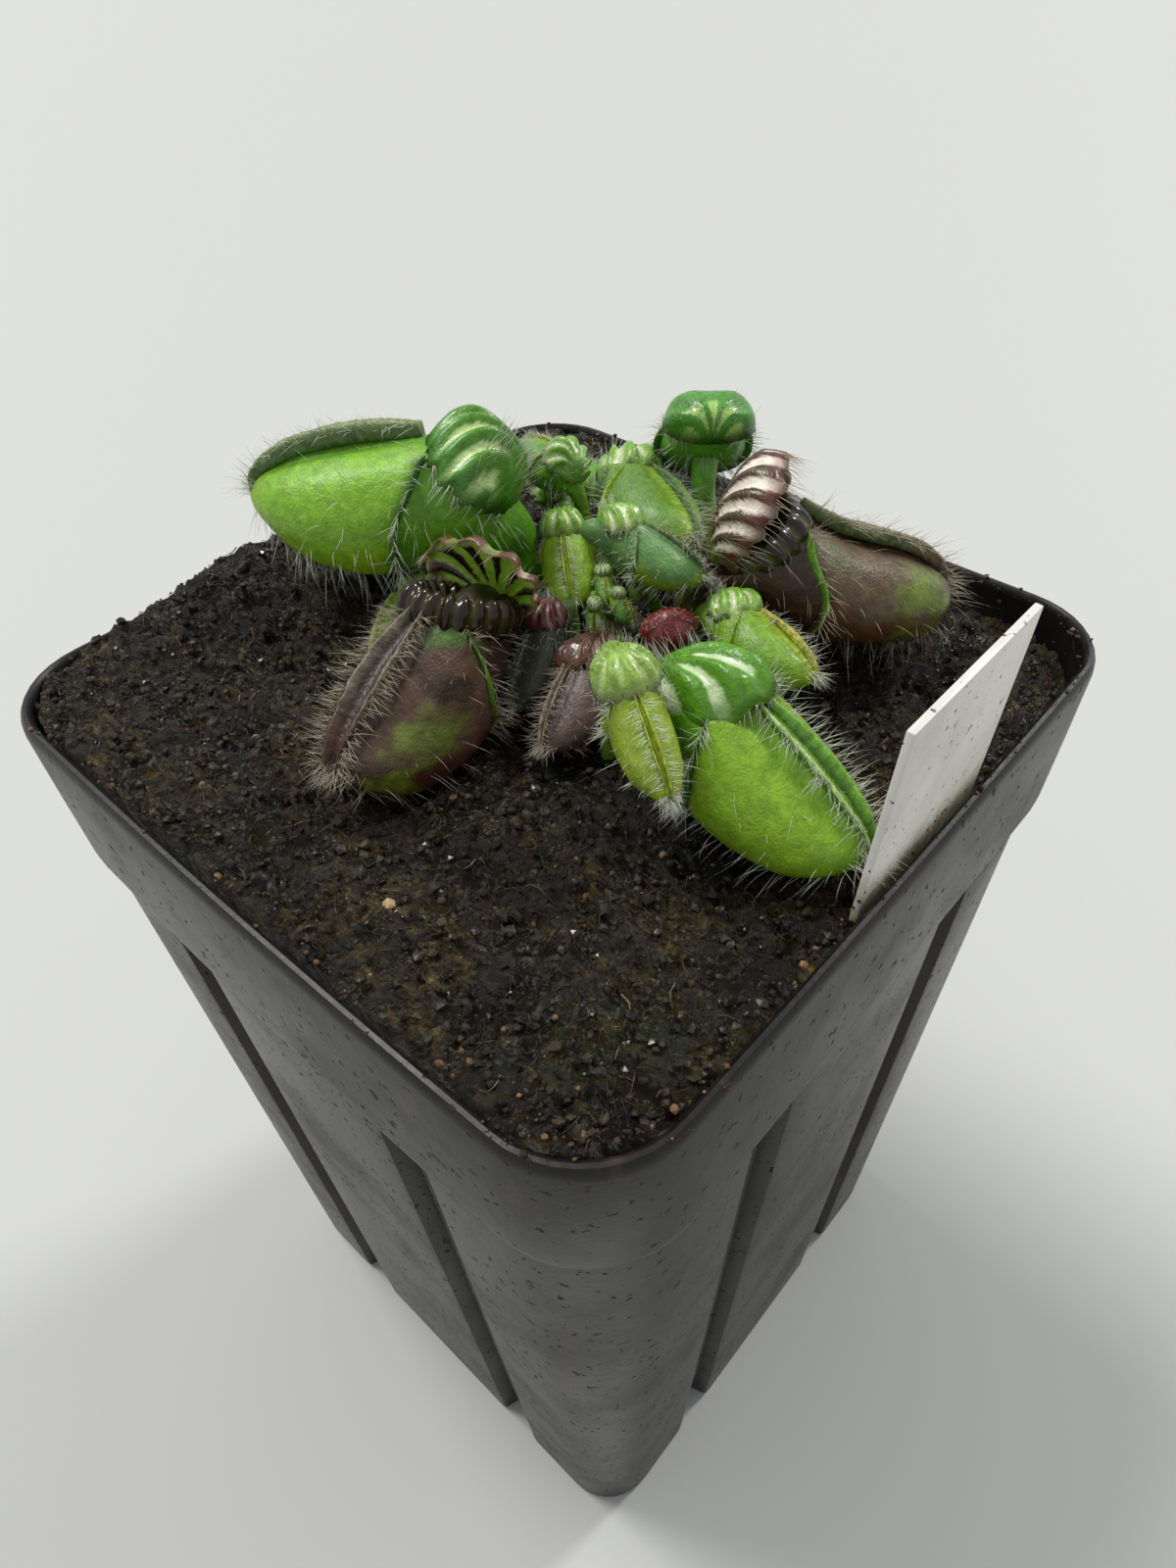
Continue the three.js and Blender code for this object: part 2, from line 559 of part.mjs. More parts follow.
// The stalk: from inside the back of the cup, narrowing, over and down into the soil.
function stalk(leaf, { place, size, shape }) {
  const start = place(shape.hinge[0] * 0.4, shape.hinge[1], 0);
  const [x, y] = leaf.root;
  const bends = leaf.bends?.map(([bx, by, bz]) => new THREE.Vector3(bx, by, RIM + bz));
  const path = new THREE.CatmullRomCurve3([
    start, ...(bends ?? [place(-0.5, -0.56, 0)]), new THREE.Vector3(x, y, RIM + 1.5),
    new THREE.Vector3(x, y, RIM - (leaf.rootDepth ?? shape.stalkDepth)),
  ], false, 'centripetal');
  const { stalk: count, stalkSides } = facets(leaf);
  const frames = path.computeFrenetFrames(count, false);
  const rings = [];
  for (let i = 0; i <= count; i++) {
    const centre = path.getPointAt(i / count);
    const away = i / count;
    const stem = THREE.MathUtils.lerp(shape.stalk * size, shape.stalkRoot, Math.min(1, 1.4 * away));
    const radius = stem + (shape.stalkFlare - shape.stalk) * size * Math.max(0, 1 - 3 * away) ** 2;
    rings.push(turns(stalkSides).map((turn) => centre.clone()
      .addScaledVector(frames.normals[i], radius * Math.cos(turn))
      .addScaledVector(frames.binormals[i], radius * Math.sin(turn))));
  }
  return solid(loft(rings));
}

// How finely each kind of leaf is faceted.
const FACETS = {
  fine: {
    around: 16, lid: [0.3, 0.6, 0.85, 1], cup: [0, 0.2, 0.4, 0.6, 0.77, 0.9, 0.975, 1],
    ridge: 6, wing: 4, stalk: 6, stalkSides: 6,
  },
  plain: {
    around: 10, lid: [0.3, 0.75, 1], cup: [0, 0.28, 0.56, 0.8, 0.95, 1],
    ridge: 4, wing: 3, stalk: 4, stalkSides: 5,
  },
  tiny: {
    around: 7, lid: [0.4, 1], cup: [0, 0.4, 0.8, 0.97],
    ridge: 2, wing: 0, stalk: 3, stalkSides: 5,
  },
};

function facets(leaf) {
  return FACETS[leaf.detail ?? 'plain'];
}

// A shut pitcher is a full bag under a full dome. An open one is a hollow cup with
// a rolled rim, and its lid is a thin curved shell.
function makeLeaf(leaf) {
  const frame = leafFrame(leaf);
  const { around, lid: lidSteps, cup: steps, ridge, wing } = facets(leaf);
  let extras = frontRidge(frame, ridge).add(stalk(leaf, frame));
  if (wing) extras = extras.add(sideWing(frame, 1, wing)).add(sideWing(frame, -1, wing));
  const lid = lidRings(frame, lidSteps, around);
  const cup = solid(loft(cupRings(frame, steps, around))).add(extras);
  if (!leaf.open) return cup.add(solid(loft(lid)));
  const inside = cupRings(frame, [-0.06, ...steps.slice(1, -3)], around, SHAPE.wall);
  const underside = lidRings(frame, lidSteps, around, SHAPE.wall).reverse();
  return cup
    .subtract(solid(loft(inside)))
    .add(mouthRim(frame))
    .add(solid(loft([...lid, ...underside])));
}

// ---------------------------------------------------------------- the crown

// The top of the rootstock, drawn out by `swell` all round.
function rootstock(swell) {
  const { x, y, radius, height, depth } = CROWN;
  const profile = [
    [0.01, -depth - swell], [radius * 0.8 + swell, -depth - swell],
    [radius + swell, 0], [radius * 0.7 + swell, height * 0.7 + swell], [0.01, height + swell],
  ];
  return solid(loft(profile.map(([r, z]) => turns(10)
    .map((turn) => new THREE.Vector3(x + r * Math.cos(turn), y + r * Math.sin(turn), RIM + z)))));
}

function makeCrown() {
  return BUDS.reduce((sum, bud) => {
    const root = [
      THREE.MathUtils.lerp(CROWN.x, bud.mouth[0], 0.2), THREE.MathUtils.lerp(CROWN.y, bud.mouth[1], 0.2),
    ];
    return sum.add(makeLeaf({ ...bud, root, rootDepth: 1, detail: 'tiny' }));
  }, rootstock(0));
}

// The plain hole in the peat that a stalk stands in.
function stalkHole(leaf) {
  const radius = leaf.detail === 'fine' ? SHAPE.stalkHole + 0.4 : SHAPE.stalkHole;
  const hole = new THREE.CylinderGeometry(radius, radius, 2 * SHAPE.stalkDepth + GAP, 7);
  hole.rotateX(Math.PI / 2);
  hole.translate(leaf.root[0], leaf.root[1], RIM - GAP / 2);
  return solid(weld(hole));
}

// ---------------------------------------------------------------- assembly

const plant = new THREE.Group();
plant.add(named('pot', makePot(), { color: 0x191a1b, roughness: 0.42, metalness: 0 }));

const holes = [makeLabel(GAP), rootstock(GAP)];
for (const leaf of LEAVES) {
  holes.push(stalkHole(leaf));
  plant.add(named(leaf.name, makeLeaf(leaf), { color: leaf.colour, roughness: 0.35, metalness: 0 }));
}
plant.add(named('crown', makeCrown(), { color: 0x5d6b35, roughness: 0.6, metalness: 0 }));
plant.add(named('label', makeLabel(0), { color: 0xdfe0dc, roughness: 0.45, metalness: 0 }));
plant.add(named('soil', makeSoil(holes), { color: 0x1d1712, roughness: 0.95, metalness: 0 }));

export default plant;
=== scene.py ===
# A potted pitcher plant: hairy moccasin-shaped pitchers on a crown in moist peat, in a
# tall square black pot with a blank white label. Sizes below are millimetres until a
# mesh is made; the origin is the middle of the pot's underside.
import math
import random

import bpy
from mathutils import Matrix, Vector, noise


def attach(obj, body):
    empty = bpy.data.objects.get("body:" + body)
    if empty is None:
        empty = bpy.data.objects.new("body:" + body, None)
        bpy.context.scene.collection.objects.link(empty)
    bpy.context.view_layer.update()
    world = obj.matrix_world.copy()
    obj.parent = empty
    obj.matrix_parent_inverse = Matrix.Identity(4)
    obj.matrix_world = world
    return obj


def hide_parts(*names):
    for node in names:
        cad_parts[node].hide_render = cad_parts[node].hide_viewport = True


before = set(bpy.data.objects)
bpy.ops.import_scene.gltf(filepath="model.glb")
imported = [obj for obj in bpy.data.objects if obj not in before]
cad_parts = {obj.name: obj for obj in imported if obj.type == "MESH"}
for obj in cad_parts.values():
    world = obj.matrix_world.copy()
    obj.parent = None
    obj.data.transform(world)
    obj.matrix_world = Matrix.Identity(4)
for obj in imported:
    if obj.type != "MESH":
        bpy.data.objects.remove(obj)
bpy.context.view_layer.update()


# ---------------------------------------------------------------- the pot
# A tapered square nursery pot, one thin moulding of black plastic with a broader band
# and a rounded lip at the top, two shallow channels down each face to stiffen it, and
# drain holes in its floor. Its skin is satin, dusty and smeared with dried peat, with a
# painted sheen on the walls towards the left and right corners.

MM = 0.001
RIM = 130.0
BAND_FOOT = 110.0


def node(tree, kind, inputs=None, **settings):
    """Adds a shader node; an input is a plain value or another node's output."""
    made = tree.nodes.new(kind)
    for key, value in settings.items():
        setattr(made, key, value)
    for key, value in (inputs or {}).items():
        if isinstance(value, bpy.types.NodeSocket):
            tree.links.new(value, made.inputs[key])
        else:
            made.inputs[key].default_value = value
    return made


def finish_on(name, **shader):
    """A new finish: its material, its node tree and its shader."""
    material = bpy.data.materials.new(name)
    material.use_nodes = True
    tree = material.node_tree
    skin = tree.nodes["Principled BSDF"]
    for key, value in shader.items():
        skin.inputs[key.replace("_", " ")].default_value = value
    return material, tree, skin


def place_on(tree):
    """The place on the piece, in metres, that its patterns are drawn by."""
    return node(tree, "ShaderNodeTexCoord").outputs["Object"]


def ramp(tree, value, *stops):
    """Colours along a value: each stop is its place, and a colour or a brightness."""
    made = node(tree, "ShaderNodeValToRGB", {"Fac": value})
    marks = made.color_ramp.elements
    while len(marks) < len(stops):
        marks.new(0.5)
    for mark, (place, shade) in zip(marks, stops):
        mark.position = place
        mark.color = (*shade, 1) if isinstance(shade, tuple) else (shade, shade, shade, 1)
    return made.outputs["Color"]


def specks(tree, place, scale, detail=3.0, rough=0.6, stretch=None):
    """A noise over the surface, from 0 to 1 and mostly near a half."""
    if stretch:
        place = node(tree, "ShaderNodeMapping", {"Vector": place, "Scale": stretch}).outputs[0]
    return node(tree, "ShaderNodeTexNoise", {
        "Vector": place, "Scale": scale, "Detail": detail, "Roughness": rough}).outputs["Fac"]


def graded(tree, value, low, high, to_low=0.0, to_high=1.0):
    """The value moved evenly from low..high to to_low..to_high, and held at both ends."""
    return node(tree, "ShaderNodeMapRange", {"Value": value, "From Min": low, "From Max": high,
                                             "To Min": to_low, "To Max": to_high}).outputs[0]


def product(tree, first, second):
    """Two values multiplied."""
    return node(tree, "ShaderNodeMath", {0: first, 1: second}, operation="MULTIPLY").outputs[0]


def blend_of(tree, share, first, second, way="MIX"):
    """The first colour with a share of the second laid over it."""
    made = node(tree, "ShaderNodeMix", {0: share, 6: first, 7: second}, data_type="RGBA", blend_type=way)
    return made.outputs[2]


def roughen(tree, skin, *layers):
    """Bumps the skin; each layer is its height, its depth in metres and its strength."""
    normal = None
    for height, deep, strength in layers:
        bump = node(tree, "ShaderNodeBump", {"Height": height, "Distance": deep, "Strength": strength})
        if normal is not None:
            tree.links.new(normal, bump.inputs["Normal"])
        normal = bump.outputs[0]
    tree.links.new(normal, skin.inputs["Normal"])


def put_together(name, points, faces, material, slot, nodes, tints=None, flat=False):
    """A finished piece from points in millimetres, riding on the root body."""
    mesh = bpy.data.meshes.new(name)
    mesh.from_pydata([(x * MM, y * MM, z * MM) for x, y, z in points], [], faces)
    if tints:
        paint = mesh.color_attributes.new("tint", "FLOAT_COLOR", "POINT")
        paint.data.foreach_set("color", [c for tint in tints for c in (*tint[:3], tint[3] if len(tint) > 3 else 1)])
    mesh.polygons.foreach_set("use_smooth", [not flat] * len(mesh.polygons))
    mesh.materials.append(material)
    mesh.update()
    piece = bpy.data.objects.new(name, mesh)
    bpy.context.scene.collection.objects.link(piece)
    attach(piece, "root")
    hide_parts(*nodes)
    return piece


def loft(rings, looped=False):
    """Points and quads through a stack of equal rings, closed at both ends unless looped."""
    count = len(rings[0])
    points = [p for ring in rings for p in ring]
    faces = []
    for i in range(len(rings) if looped else len(rings) - 1):
        low, high = i * count, (i + 1) % len(rings) * count
        for j in range(count):
            k = (j + 1) % count
            faces.append((low + j, low + k, high + k, high + j))
    if not looped:
        faces.append(tuple(reversed(range(count))))
        faces.append(tuple(range((len(rings) - 1) * count, len(rings) * count)))
    return points, faces


def face_out(piece):
    """Turns a closed piece's faces outwards."""
    bpy.ops.object.select_all(action="DESELECT")
    bpy.context.view_layer.objects.active = piece
    piece.select_set(True)
    bpy.ops.object.mode_set(mode="EDIT")
    bpy.ops.mesh.select_all(action="SELECT")
    bpy.ops.mesh.normals_make_consistent(inside=False)
    bpy.ops.object.mode_set(mode="OBJECT")
    piece.select_set(False)


# One channel across a face: distance from the face's middle, and depth. Its mirror image
# is the other, and the flat stretch between them has points of its own to bow with.
CHANNEL = [(-22.0, 0.0), (-21.4, 0.15), (-20.7, 2.3), (-20.2, 2.6),
           (-15.8, 2.6), (-15.3, 2.3), (-14.6, 0.15), (-14.0, 0.0)]
CHANNEL_MIDDLE = -18
BETWEEN_CHANNELS = (-9, -4.5, 0, 4.5, 9)
CORNER_STEPS = 9


def pot_ring(wide, corner, z, channel=0.0, spread=0.0, bow=0.0):
    """One outline of the pot: a square with round corners and two channels a side."""
    reach, ring = wide / 2 - corner, []
    one = [(y + (spread if y > CHANNEL_MIDDLE else -spread), deep) for y, deep in CHANNEL]
    steps = [(-reach, 0.0)] + one + [(y, 0.0) for y in BETWEEN_CHANNELS]
    steps += [(-y, deep) for y, deep in reversed(one)]
    for turn in range(4):
        c, s = round(math.cos(turn * math.pi / 2)), round(math.sin(turn * math.pi / 2))
        swell = bow if turn == 3 else 0.3 * bow
        for y, deep in steps:
            x = wide / 2 - deep * channel + swell * (1 - (y / reach) ** 2)
            ring.append((c * x - s * y, s * x + c * y, z))
        for k in range(CORNER_STEPS):
            a = math.radians(90 * k / CORNER_STEPS)
            x, y = reach + corner * math.cos(a), reach + corner * math.sin(a)
            ring.append((c * x - s * y, s * x + c * y, z))
    return ring


def body_ring(z, foot, top, spread=0.0, bow=0.0):
    """An outline of the tapered body, from its width and corner radius at the foot and the top."""
    wide, corner = (low + (high - low) * z / BAND_FOOT for low, high in zip(foot, top))
    return pot_ring(wide, corner, z, 1, spread, bow)


# The band and its rounded lip, up the outside and down the inside: width, corner radius,
# height, and how far the wall bows out.
BAND = [(88.6, 12.3, 109.85, 0.5), (89.0, 12, 110.3, 0.5), (89.1, 11.8, 111.2, 0.5), (89.6, 11.4, 120, 0.5),
        (90.0, 11, 128.7, 0.4), (89.7, 10.9, 129.5, 0.4), (89.0, 10.5, 129.95, 0.4), (88.2, 10.1, 130, 0.4),
        (87.5, 9.8, 129.7, 0.4), (87.1, 9.6, 129.0, 0.4), (86.9, 9.6, 121, 0.4), (86.6, 9.7, 112, 0.4)]

rings = [pot_ring(75.6, 7, 0, 1), pot_ring(77.0, 7.6, 0.25, 1), pot_ring(77.66, 8, 1.0, 1)]
rings += [body_ring(z, (77.6, 8), (87.4, 13), bow=0.5 * z / BAND_FOOT) for z in (12, 30, 50, 70, 90, 104, 108.6)]
rings += [pot_ring(87.3, 13, 109.8, 1, bow=0.5), pot_ring(87.3, 13, 109.8, 0, bow=0.5)]
rings += [pot_ring(wide, corner, z, bow=bow) for wide, corner, z, bow in BAND]
rings += [pot_ring(85.2, 12, 111.0, 0), pot_ring(85.2, 12, 110.9, 1, 1.1)]
rings += [body_ring(z, (75.4, 7), (85.2, 12), 1.1) for z in (104, 90, 70, 50, 30, 12, 1.6)]

pot_plastic, tree, skin = finish_on("black pot plastic", IOR=1.46, Specular_IOR_Level=0.3)
place = place_on(tree)
dust = ramp(tree, specks(tree, place, 55, 6, 0.65), (0.46, 0), (0.72, 1))
grains = ramp(tree, specks(tree, place, 900, 2, 0.5), (0.66, 0), (0.71, 1))
smears = ramp(tree, specks(tree, place, 180, 5, 0.7, (1, 1, 0.35)), (0.6, 0), (0.78, 1))
base = blend_of(tree, dust, (0.006, 0.005, 0.005, 1), (0.017, 0.014, 0.013, 1))
base = blend_of(tree, smears, base, (0.04, 0.028, 0.02, 1))
# A thin dried film clouds the walls below the band, towards the left and right corners and away from the front
# corner; it is partly real dust and partly a painted sheen, standing in for the walls' grazing reflection.
across = node(tree, "ShaderNodeVectorMath", {0: place, 1: (1, 1, 0)}, operation="DOT_PRODUCT").outputs["Value"]
across = node(tree, "ShaderNodeMath", {0: across}, operation="ABSOLUTE").outputs[0]
dust_and_sheen_film = product(tree, graded(tree, across, 0.022, 0.068), specks(tree, place, 90, 5, 0.6, (1, 1, 0.4)))
height = node(tree, "ShaderNodeSeparateXYZ", {"Vector": place}).outputs["Z"]
dust_and_sheen_film = product(tree, dust_and_sheen_film, graded(tree, height, 0.1105, 0.104))
base = blend_of(tree, dust_and_sheen_film, base, (0.045, 0.037, 0.032, 1))
base = blend_of(tree, grains, base, (0.035, 0.02, 0.011, 1))
tree.links.new(base, skin.inputs["Base Color"])
satin = ramp(tree, dust, (0.0, 0.34), (1.0, 0.5))
tree.links.new(blend_of(tree, grains, satin, (0.85, 0.85, 0.85, 1)), skin.inputs["Roughness"])
roughen(tree, skin, (grains, 0.0003, 0.6), (specks(tree, place, 1400, 2, 0.5), 0.00006, 0.5))

DRAIN_RADIUS, DRAIN_OUT = 4, 24

points, faces = loft(rings)
pot = put_together("square_pot", points, faces, pot_plastic, "pot_plastic", ["pot"])
face_out(pot)
for x, y in ((0, 0), (1, 1), (-1, 1), (-1, -1), (1, -1)):
    bpy.ops.mesh.primitive_cylinder_add(vertices=32, radius=DRAIN_RADIUS * MM, depth=9 * MM,
                                        location=(x * DRAIN_OUT * MM, y * DRAIN_OUT * MM, 0))
    drill = bpy.context.object
    cut = pot.modifiers.new("drain hole", "BOOLEAN")
    cut.operation, cut.object = "DIFFERENCE", drill
    bpy.context.view_layer.objects.active = pot
    bpy.ops.object.modifier_apply(modifier=cut.name)
    bpy.data.objects.remove(drill)
bpy.context.view_layer.objects.active = pot
pot.select_set(True)
bpy.ops.object.shade_smooth_by_angle(angle=math.radians(38))
pot.select_set(False)


# ---------------------------------------------------------------- the peat
# Moist dark peat fills the pot. It is heaped against the left wall, hollowed under the
# heavy pitchers and sunk along the label, and it is a felt of crumbs and fibres with
# wet glints on it.

CROWN_X, CROWN_Y = 1.0, 9.0
# The hollow under each heavy pitcher: its place, breadth and depth.
HOLLOWS = [(30, -6, 10, 3.6), (-1, -22, 7, 2.8), (-4, -14, 6, 3.6), (8, -10, 5, 1.7), (-17, -9.5, 6, 5.1),
           (1.2, -8, 4, 2)]
random.seed(7)


def mound(x, y, middle_x, middle_y, spread):
    """A soft bump of height 1."""
    return math.exp(-((x - middle_x) ** 2 + (y - middle_y) ** 2) / spread ** 2)


def ease(value, low, high):
    """0 below low and 1 above high, with a smooth rise between."""
    share = min(1.0, max(0.0, (value - low) / (high - low)))
    return share * share * (3 - 2 * share)


def ground(x, y):
    """Height of the peat without its fine roughness."""
    edge = ease(45 - max(abs(x), abs(y)), 0, 5)
    heap = 4.6 * mound(x, y, -40, -12, 17) * (0.5 + 0.5 * edge) + 0.8 * mound(x, y, CROWN_X, CROWN_Y, 16)
    hollow = sum(deep * mound(x, y, mx, my, spread) for mx, my, spread, deep in HOLLOWS)
    dip = 4.5 * max(0.0, (0.8 * x + 0.45 * y) / 45 - 0.2)
    rough = math.sin(x * 1.1 + 2 * math.sin(y * 0.5)) * math.cos(y * 0.9 + math.sin(x * 0.7))
    return RIM - 0.6 + heap - hollow - dip + 0.45 * (rough + 0.6 * math.sin(x * 2.3 - y * 1.7))


def crumbly(x, y):
    """Height of the peat with its lumps, grit and fine grain."""
    lumps = noise.fractal(Vector((x * 0.42, y * 0.42, 3.1)), 0.9, 2.1, 5)
    grit = abs(noise.noise(Vector((x * 1.7, y * 1.7, 9.4)))) + 0.6 * abs(noise.noise(Vector((x * 3.9, y * 3.9, 1.2))))
    fine = noise.noise(Vector((x * 6.1, y * 6.1, 4.4)))
    return ground(x, y) + 0.6 * lumps + 0.7 * (grit - 0.35) + 0.16 * fine


peat, tree, skin = finish_on("moist peat", IOR=1.45)
place = place_on(tree)
shade = ramp(tree, specks(tree, place, 620, 7, 0.8), (0.36, (0.002, 0.0014, 0.0007)),
             (0.48, (0.011, 0.008, 0.0028)), (0.58, (0.056, 0.039, 0.014)), (0.7, (0.19, 0.14, 0.055)))
clods = ramp(tree, specks(tree, place, 70, 3, 0.6), (0.4, (0.28, 0.28, 0.3)), (0.64, (1.7, 1.6, 1.4)))
shade = blend_of(tree, 1.0, shade, clods, "MULTIPLY")
moss = product(tree, specks(tree, place, 48, 3, 0.6), specks(tree, place, 700, 4, 0.7))
shade = blend_of(tree, ramp(tree, moss, (0.3, 0), (0.4, 0.75)), shade, (0.024, 0.032, 0.005, 1))
tree.links.new(shade, skin.inputs["Base Color"])
wet = ramp(tree, specks(tree, place, 260, 4, 0.7), (0.46, 0.12), (0.6, 0.65))
tree.links.new(wet, skin.inputs["Roughness"])
roughen(tree, skin, (specks(tree, place, 900, 6, 0.8), 0.0013, 1.0))

PEAT_STEPS = 250
PEAT_HALF, PEAT_CORNER = 43.2, 9.6
SKIRT_FOOT = 113.0


def on_square(u, v):
    """A point of a square of half side 1, moved onto the round-cornered outline of the peat."""
    most = max(abs(u), abs(v))
    if most < 1e-9:
        return 0.0, 0.0
    x, y = abs(u) / most * PEAT_HALF, abs(v) / most * PEAT_HALF
    inner = PEAT_HALF - PEAT_CORNER
    if x > inner and y > inner:
        dx, dy = x - inner, y - inner
        pull = PEAT_CORNER / math.hypot(dx, dy)
        x, y = inner + dx * pull, inner + dy * pull
    return math.copysign(x * most, u), math.copysign(y * most, v)


points, faces = [], []
row = PEAT_STEPS + 1
for i in range(row):
    for j in range(row):
        x, y = on_square(2 * i / PEAT_STEPS - 1, 2 * j / PEAT_STEPS - 1)
        points.append((x, y, crumbly(x, y)))
for i in range(PEAT_STEPS):
    for j in range(PEAT_STEPS):
        k = i * row + j
        faces.append((k, k + row, k + row + 1, k + 1))
# The surface hangs over a short skirt, and the rest of the peat is a block that fills the pot.
last = PEAT_STEPS * row
border = [j for j in range(PEAT_STEPS)] + [i * row + PEAT_STEPS for i in range(PEAT_STEPS)]
border += [last + PEAT_STEPS - j for j in range(PEAT_STEPS)] + [(PEAT_STEPS - i) * row for i in range(PEAT_STEPS)]
under = len(points)
points += [(points[k][0], points[k][1], SKIRT_FOOT) for k in border]
for n in range(len(border)):
    m = (n + 1) % len(border)
    faces.append((border[n], border[m], under + m, under + n))
faces.append(tuple(reversed(range(under, under + len(border)))))
block = [body_ring(z, (74.8, 6.7), (84.6, 11.7), 1.4) for z in (1.9, 30, 60, 90, 110.6)]
block += [pot_ring(84.6, 11.7, 110.9, 0), pot_ring(86.2, 9.5, 112.3), pot_ring(86.2, 9.5, 114)]
more, sides = loft(block)
faces += [tuple(len(points) + k for k in face) for face in sides]
points += more
face_out(put_together("peat", points, faces, peat, "peat", ["soil"]))

# Loose crumbs of peat lie all over it, a few of them tan or reddish brown. Each is a
# small twenty-sided grain, knocked out of shape.
CRUMB = [(0, 0, 1), (0.89, 0, 0.45), (0.28, 0.85, 0.45), (-0.72, 0.53, 0.45), (-0.72, -0.53, 0.45),
         (0.28, -0.85, 0.45), (0.72, 0.53, -0.45), (-0.28, 0.85, -0.45), (-0.89, 0, -0.45),
         (-0.28, -0.85, -0.45), (0.72, -0.53, -0.45), (0, 0, -1)]
CRUMB_FACES = [(0, 1, 2), (0, 2, 3), (0, 3, 4), (0, 4, 5), (0, 5, 1), (1, 6, 2), (2, 6, 7), (2, 7, 3),
               (3, 7, 8), (3, 8, 4), (4, 8, 9), (4, 9, 5), (5, 9, 10), (5, 10, 1), (1, 10, 6),
               (6, 11, 7), (7, 11, 8), (8, 11, 9), (9, 11, 10), (10, 11, 6)]


def crumb(points, faces, tints, x, y, z, size, colour):
    """Adds one crumb to the heap."""
    start = len(points)
    turn = Matrix.Rotation(random.uniform(0, 6.28), 3, Vector([random.gauss(0, 1) for _ in "xyz"]))
    for corner in CRUMB:
        p = turn @ (Vector(corner) * size * random.uniform(0.6, 1.25))
        points.append((x + p.x, y + p.y, z + p.z * 0.8))
        tints.append(colour)
    faces += [tuple(start + k for k in face) for face in CRUMB_FACES]


def paint(tree, skin, mottle):
    """Paints the skin by the piece's own tint, mottled, and gives the tint's fourth value."""
    tint = node(tree, "ShaderNodeAttribute", attribute_name="tint")
    tree.links.new(blend_of(tree, 1.0, tint.outputs["Color"], mottle, "MULTIPLY"), skin.inputs["Base Color"])
    return tint.outputs["Alpha"]


grain, tree, skin = finish_on("peat crumbs and fibres", IOR=1.4)
place = place_on(tree)
paint(tree, skin, ramp(tree, specks(tree, place, 1500, 3, 0.7), (0.3, 0.5), (0.7, 1.5)))
tree.links.new(ramp(tree, specks(tree, place, 800, 3), (0.4, 0.14), (0.58, 0.85)), skin.inputs["Roughness"])

points, faces, tints = [], [], []
for n in range(5200):
    x, y = on_square(random.uniform(-0.985, 0.985), random.uniform(-0.985, 0.985))
    size = 0.16 + 0.5 * random.random() ** 3.2
    dark = random.uniform(0.4, 1.6)
    colour = (0.018 * dark, 0.013 * dark, 0.006 * dark)
    if random.random() < 0.05:
        colour = random.choice([(0.11, 0.06, 0.03), (0.16, 0.1, 0.05), (0.09, 0.03, 0.015), (0.2, 0.16, 0.1)])
        size *= 0.75
    crumb(points, faces, tints, x, y, crumbly(x, y) + size * 0.3, size, colour)
for x, y, size, colour in ((-12, -21, 0.9, (0.42, 0.27, 0.13)), (-20, -12, 0.8, (0.4, 0.22, 0.1)),
                           (39.5, 17.5, 0.7, (0.45, 0.17, 0.07)), (12, -35, 0.7, (0.3, 0.2, 0.1))):
    crumb(points, faces, tints, x, y, crumbly(x, y) + size * 0.5, size, colour)
for n in range(260):
    u, v = random.choice([(random.uniform(-1, 1), random.choice((-1, 1))),
                          (random.choice((-1, 1)), random.uniform(-1, 1))])
    out = random.choice((random.uniform(0.985, 1.0), random.uniform(0.985, 1.03)))
    x, y = on_square(u, v)
    size, dark = 0.12 + 0.3 * random.random() ** 2.5, random.uniform(0.4, 1.5)
    colour = random.choice([(0.012, 0.008, 0.005), (0.07, 0.03, 0.014), (0.11, 0.06, 0.025)])
    crumb(points, faces, tints, x * out, y * out, RIM + size * 0.4, size, tuple(c * dark for c in colour))
put_together("peat_crumbs", points, faces, grain, "peat", ["soil"], tints, flat=True)

# Fibres of peat lie tangled over it: dark threads, with some paler dry ones.


def strand(points, faces, tints, path, thick, tip, colour, tip_colour=None):
    """A thin three-sided thread through the path, closed at both ends, pointed where its tip is 0."""
    start, last = len(points), len(path) - 1
    side = (path[1] - path[0]).orthogonal().normalized()
    for i, p in enumerate(path):
        run = (path[min(i + 1, last)] - path[max(i - 1, 0)]).normalized()
        side = (side - run * side.dot(run)).normalized()
        over = run.cross(side)
        width = thick + (tip - thick) * i / last
        share = i / last
        shade = colour if tip_colour is None else tuple(a + (b - a) * share for a, b in zip(colour, tip_colour))
        for k in range(1 if width == 0 else 3):
            turn = k * 2.0944
            points.append(tuple(p + side * (width * math.cos(turn)) + over * (width * math.sin(turn))))
            tints.append(shade)
    for i in range(last):
        for k in range(3):
            a, b = start + 3 * i + k, start + 3 * i + (k + 1) % 3
            faces.append((a, b, start + 3 * last) if tip == 0 and i == last - 1 else (a, b, b + 3, a + 3))
    faces.append((start + 2, start + 1, start))
    if tip:
        faces.append((start + 3 * last, start + 3 * last + 1, start + 3 * last + 2))


points, faces, tints = [], [], []
for n in range(4600):
    x, y = on_square(random.uniform(-0.97, 0.97), random.uniform(-0.97, 0.97))
    heading, bend, long = random.uniform(0, 6.28), random.gauss(0, 0.5), random.uniform(0.7, 3.0)
    path = []
    for k in range(4):
        z = crumbly(x, y) + random.uniform(-0.05, 0.35)
        path.append(Vector((x, y, z)))
        x, y = x + math.cos(heading) * long / 3, y + math.sin(heading) * long / 3
        heading += bend
    if max(abs(x), abs(y)) > 43:
        continue
    dark = random.uniform(0.5, 2.2)
    colour = (0.014 * dark, 0.009 * dark, 0.005 * dark)
    if random.random() < 0.1:
        colour = random.choice([(0.1, 0.06, 0.025), (0.16, 0.11, 0.055), (0.08, 0.035, 0.014)])
    strand(points, faces, tints, path, random.uniform(0.04, 0.1), 0.03, colour)
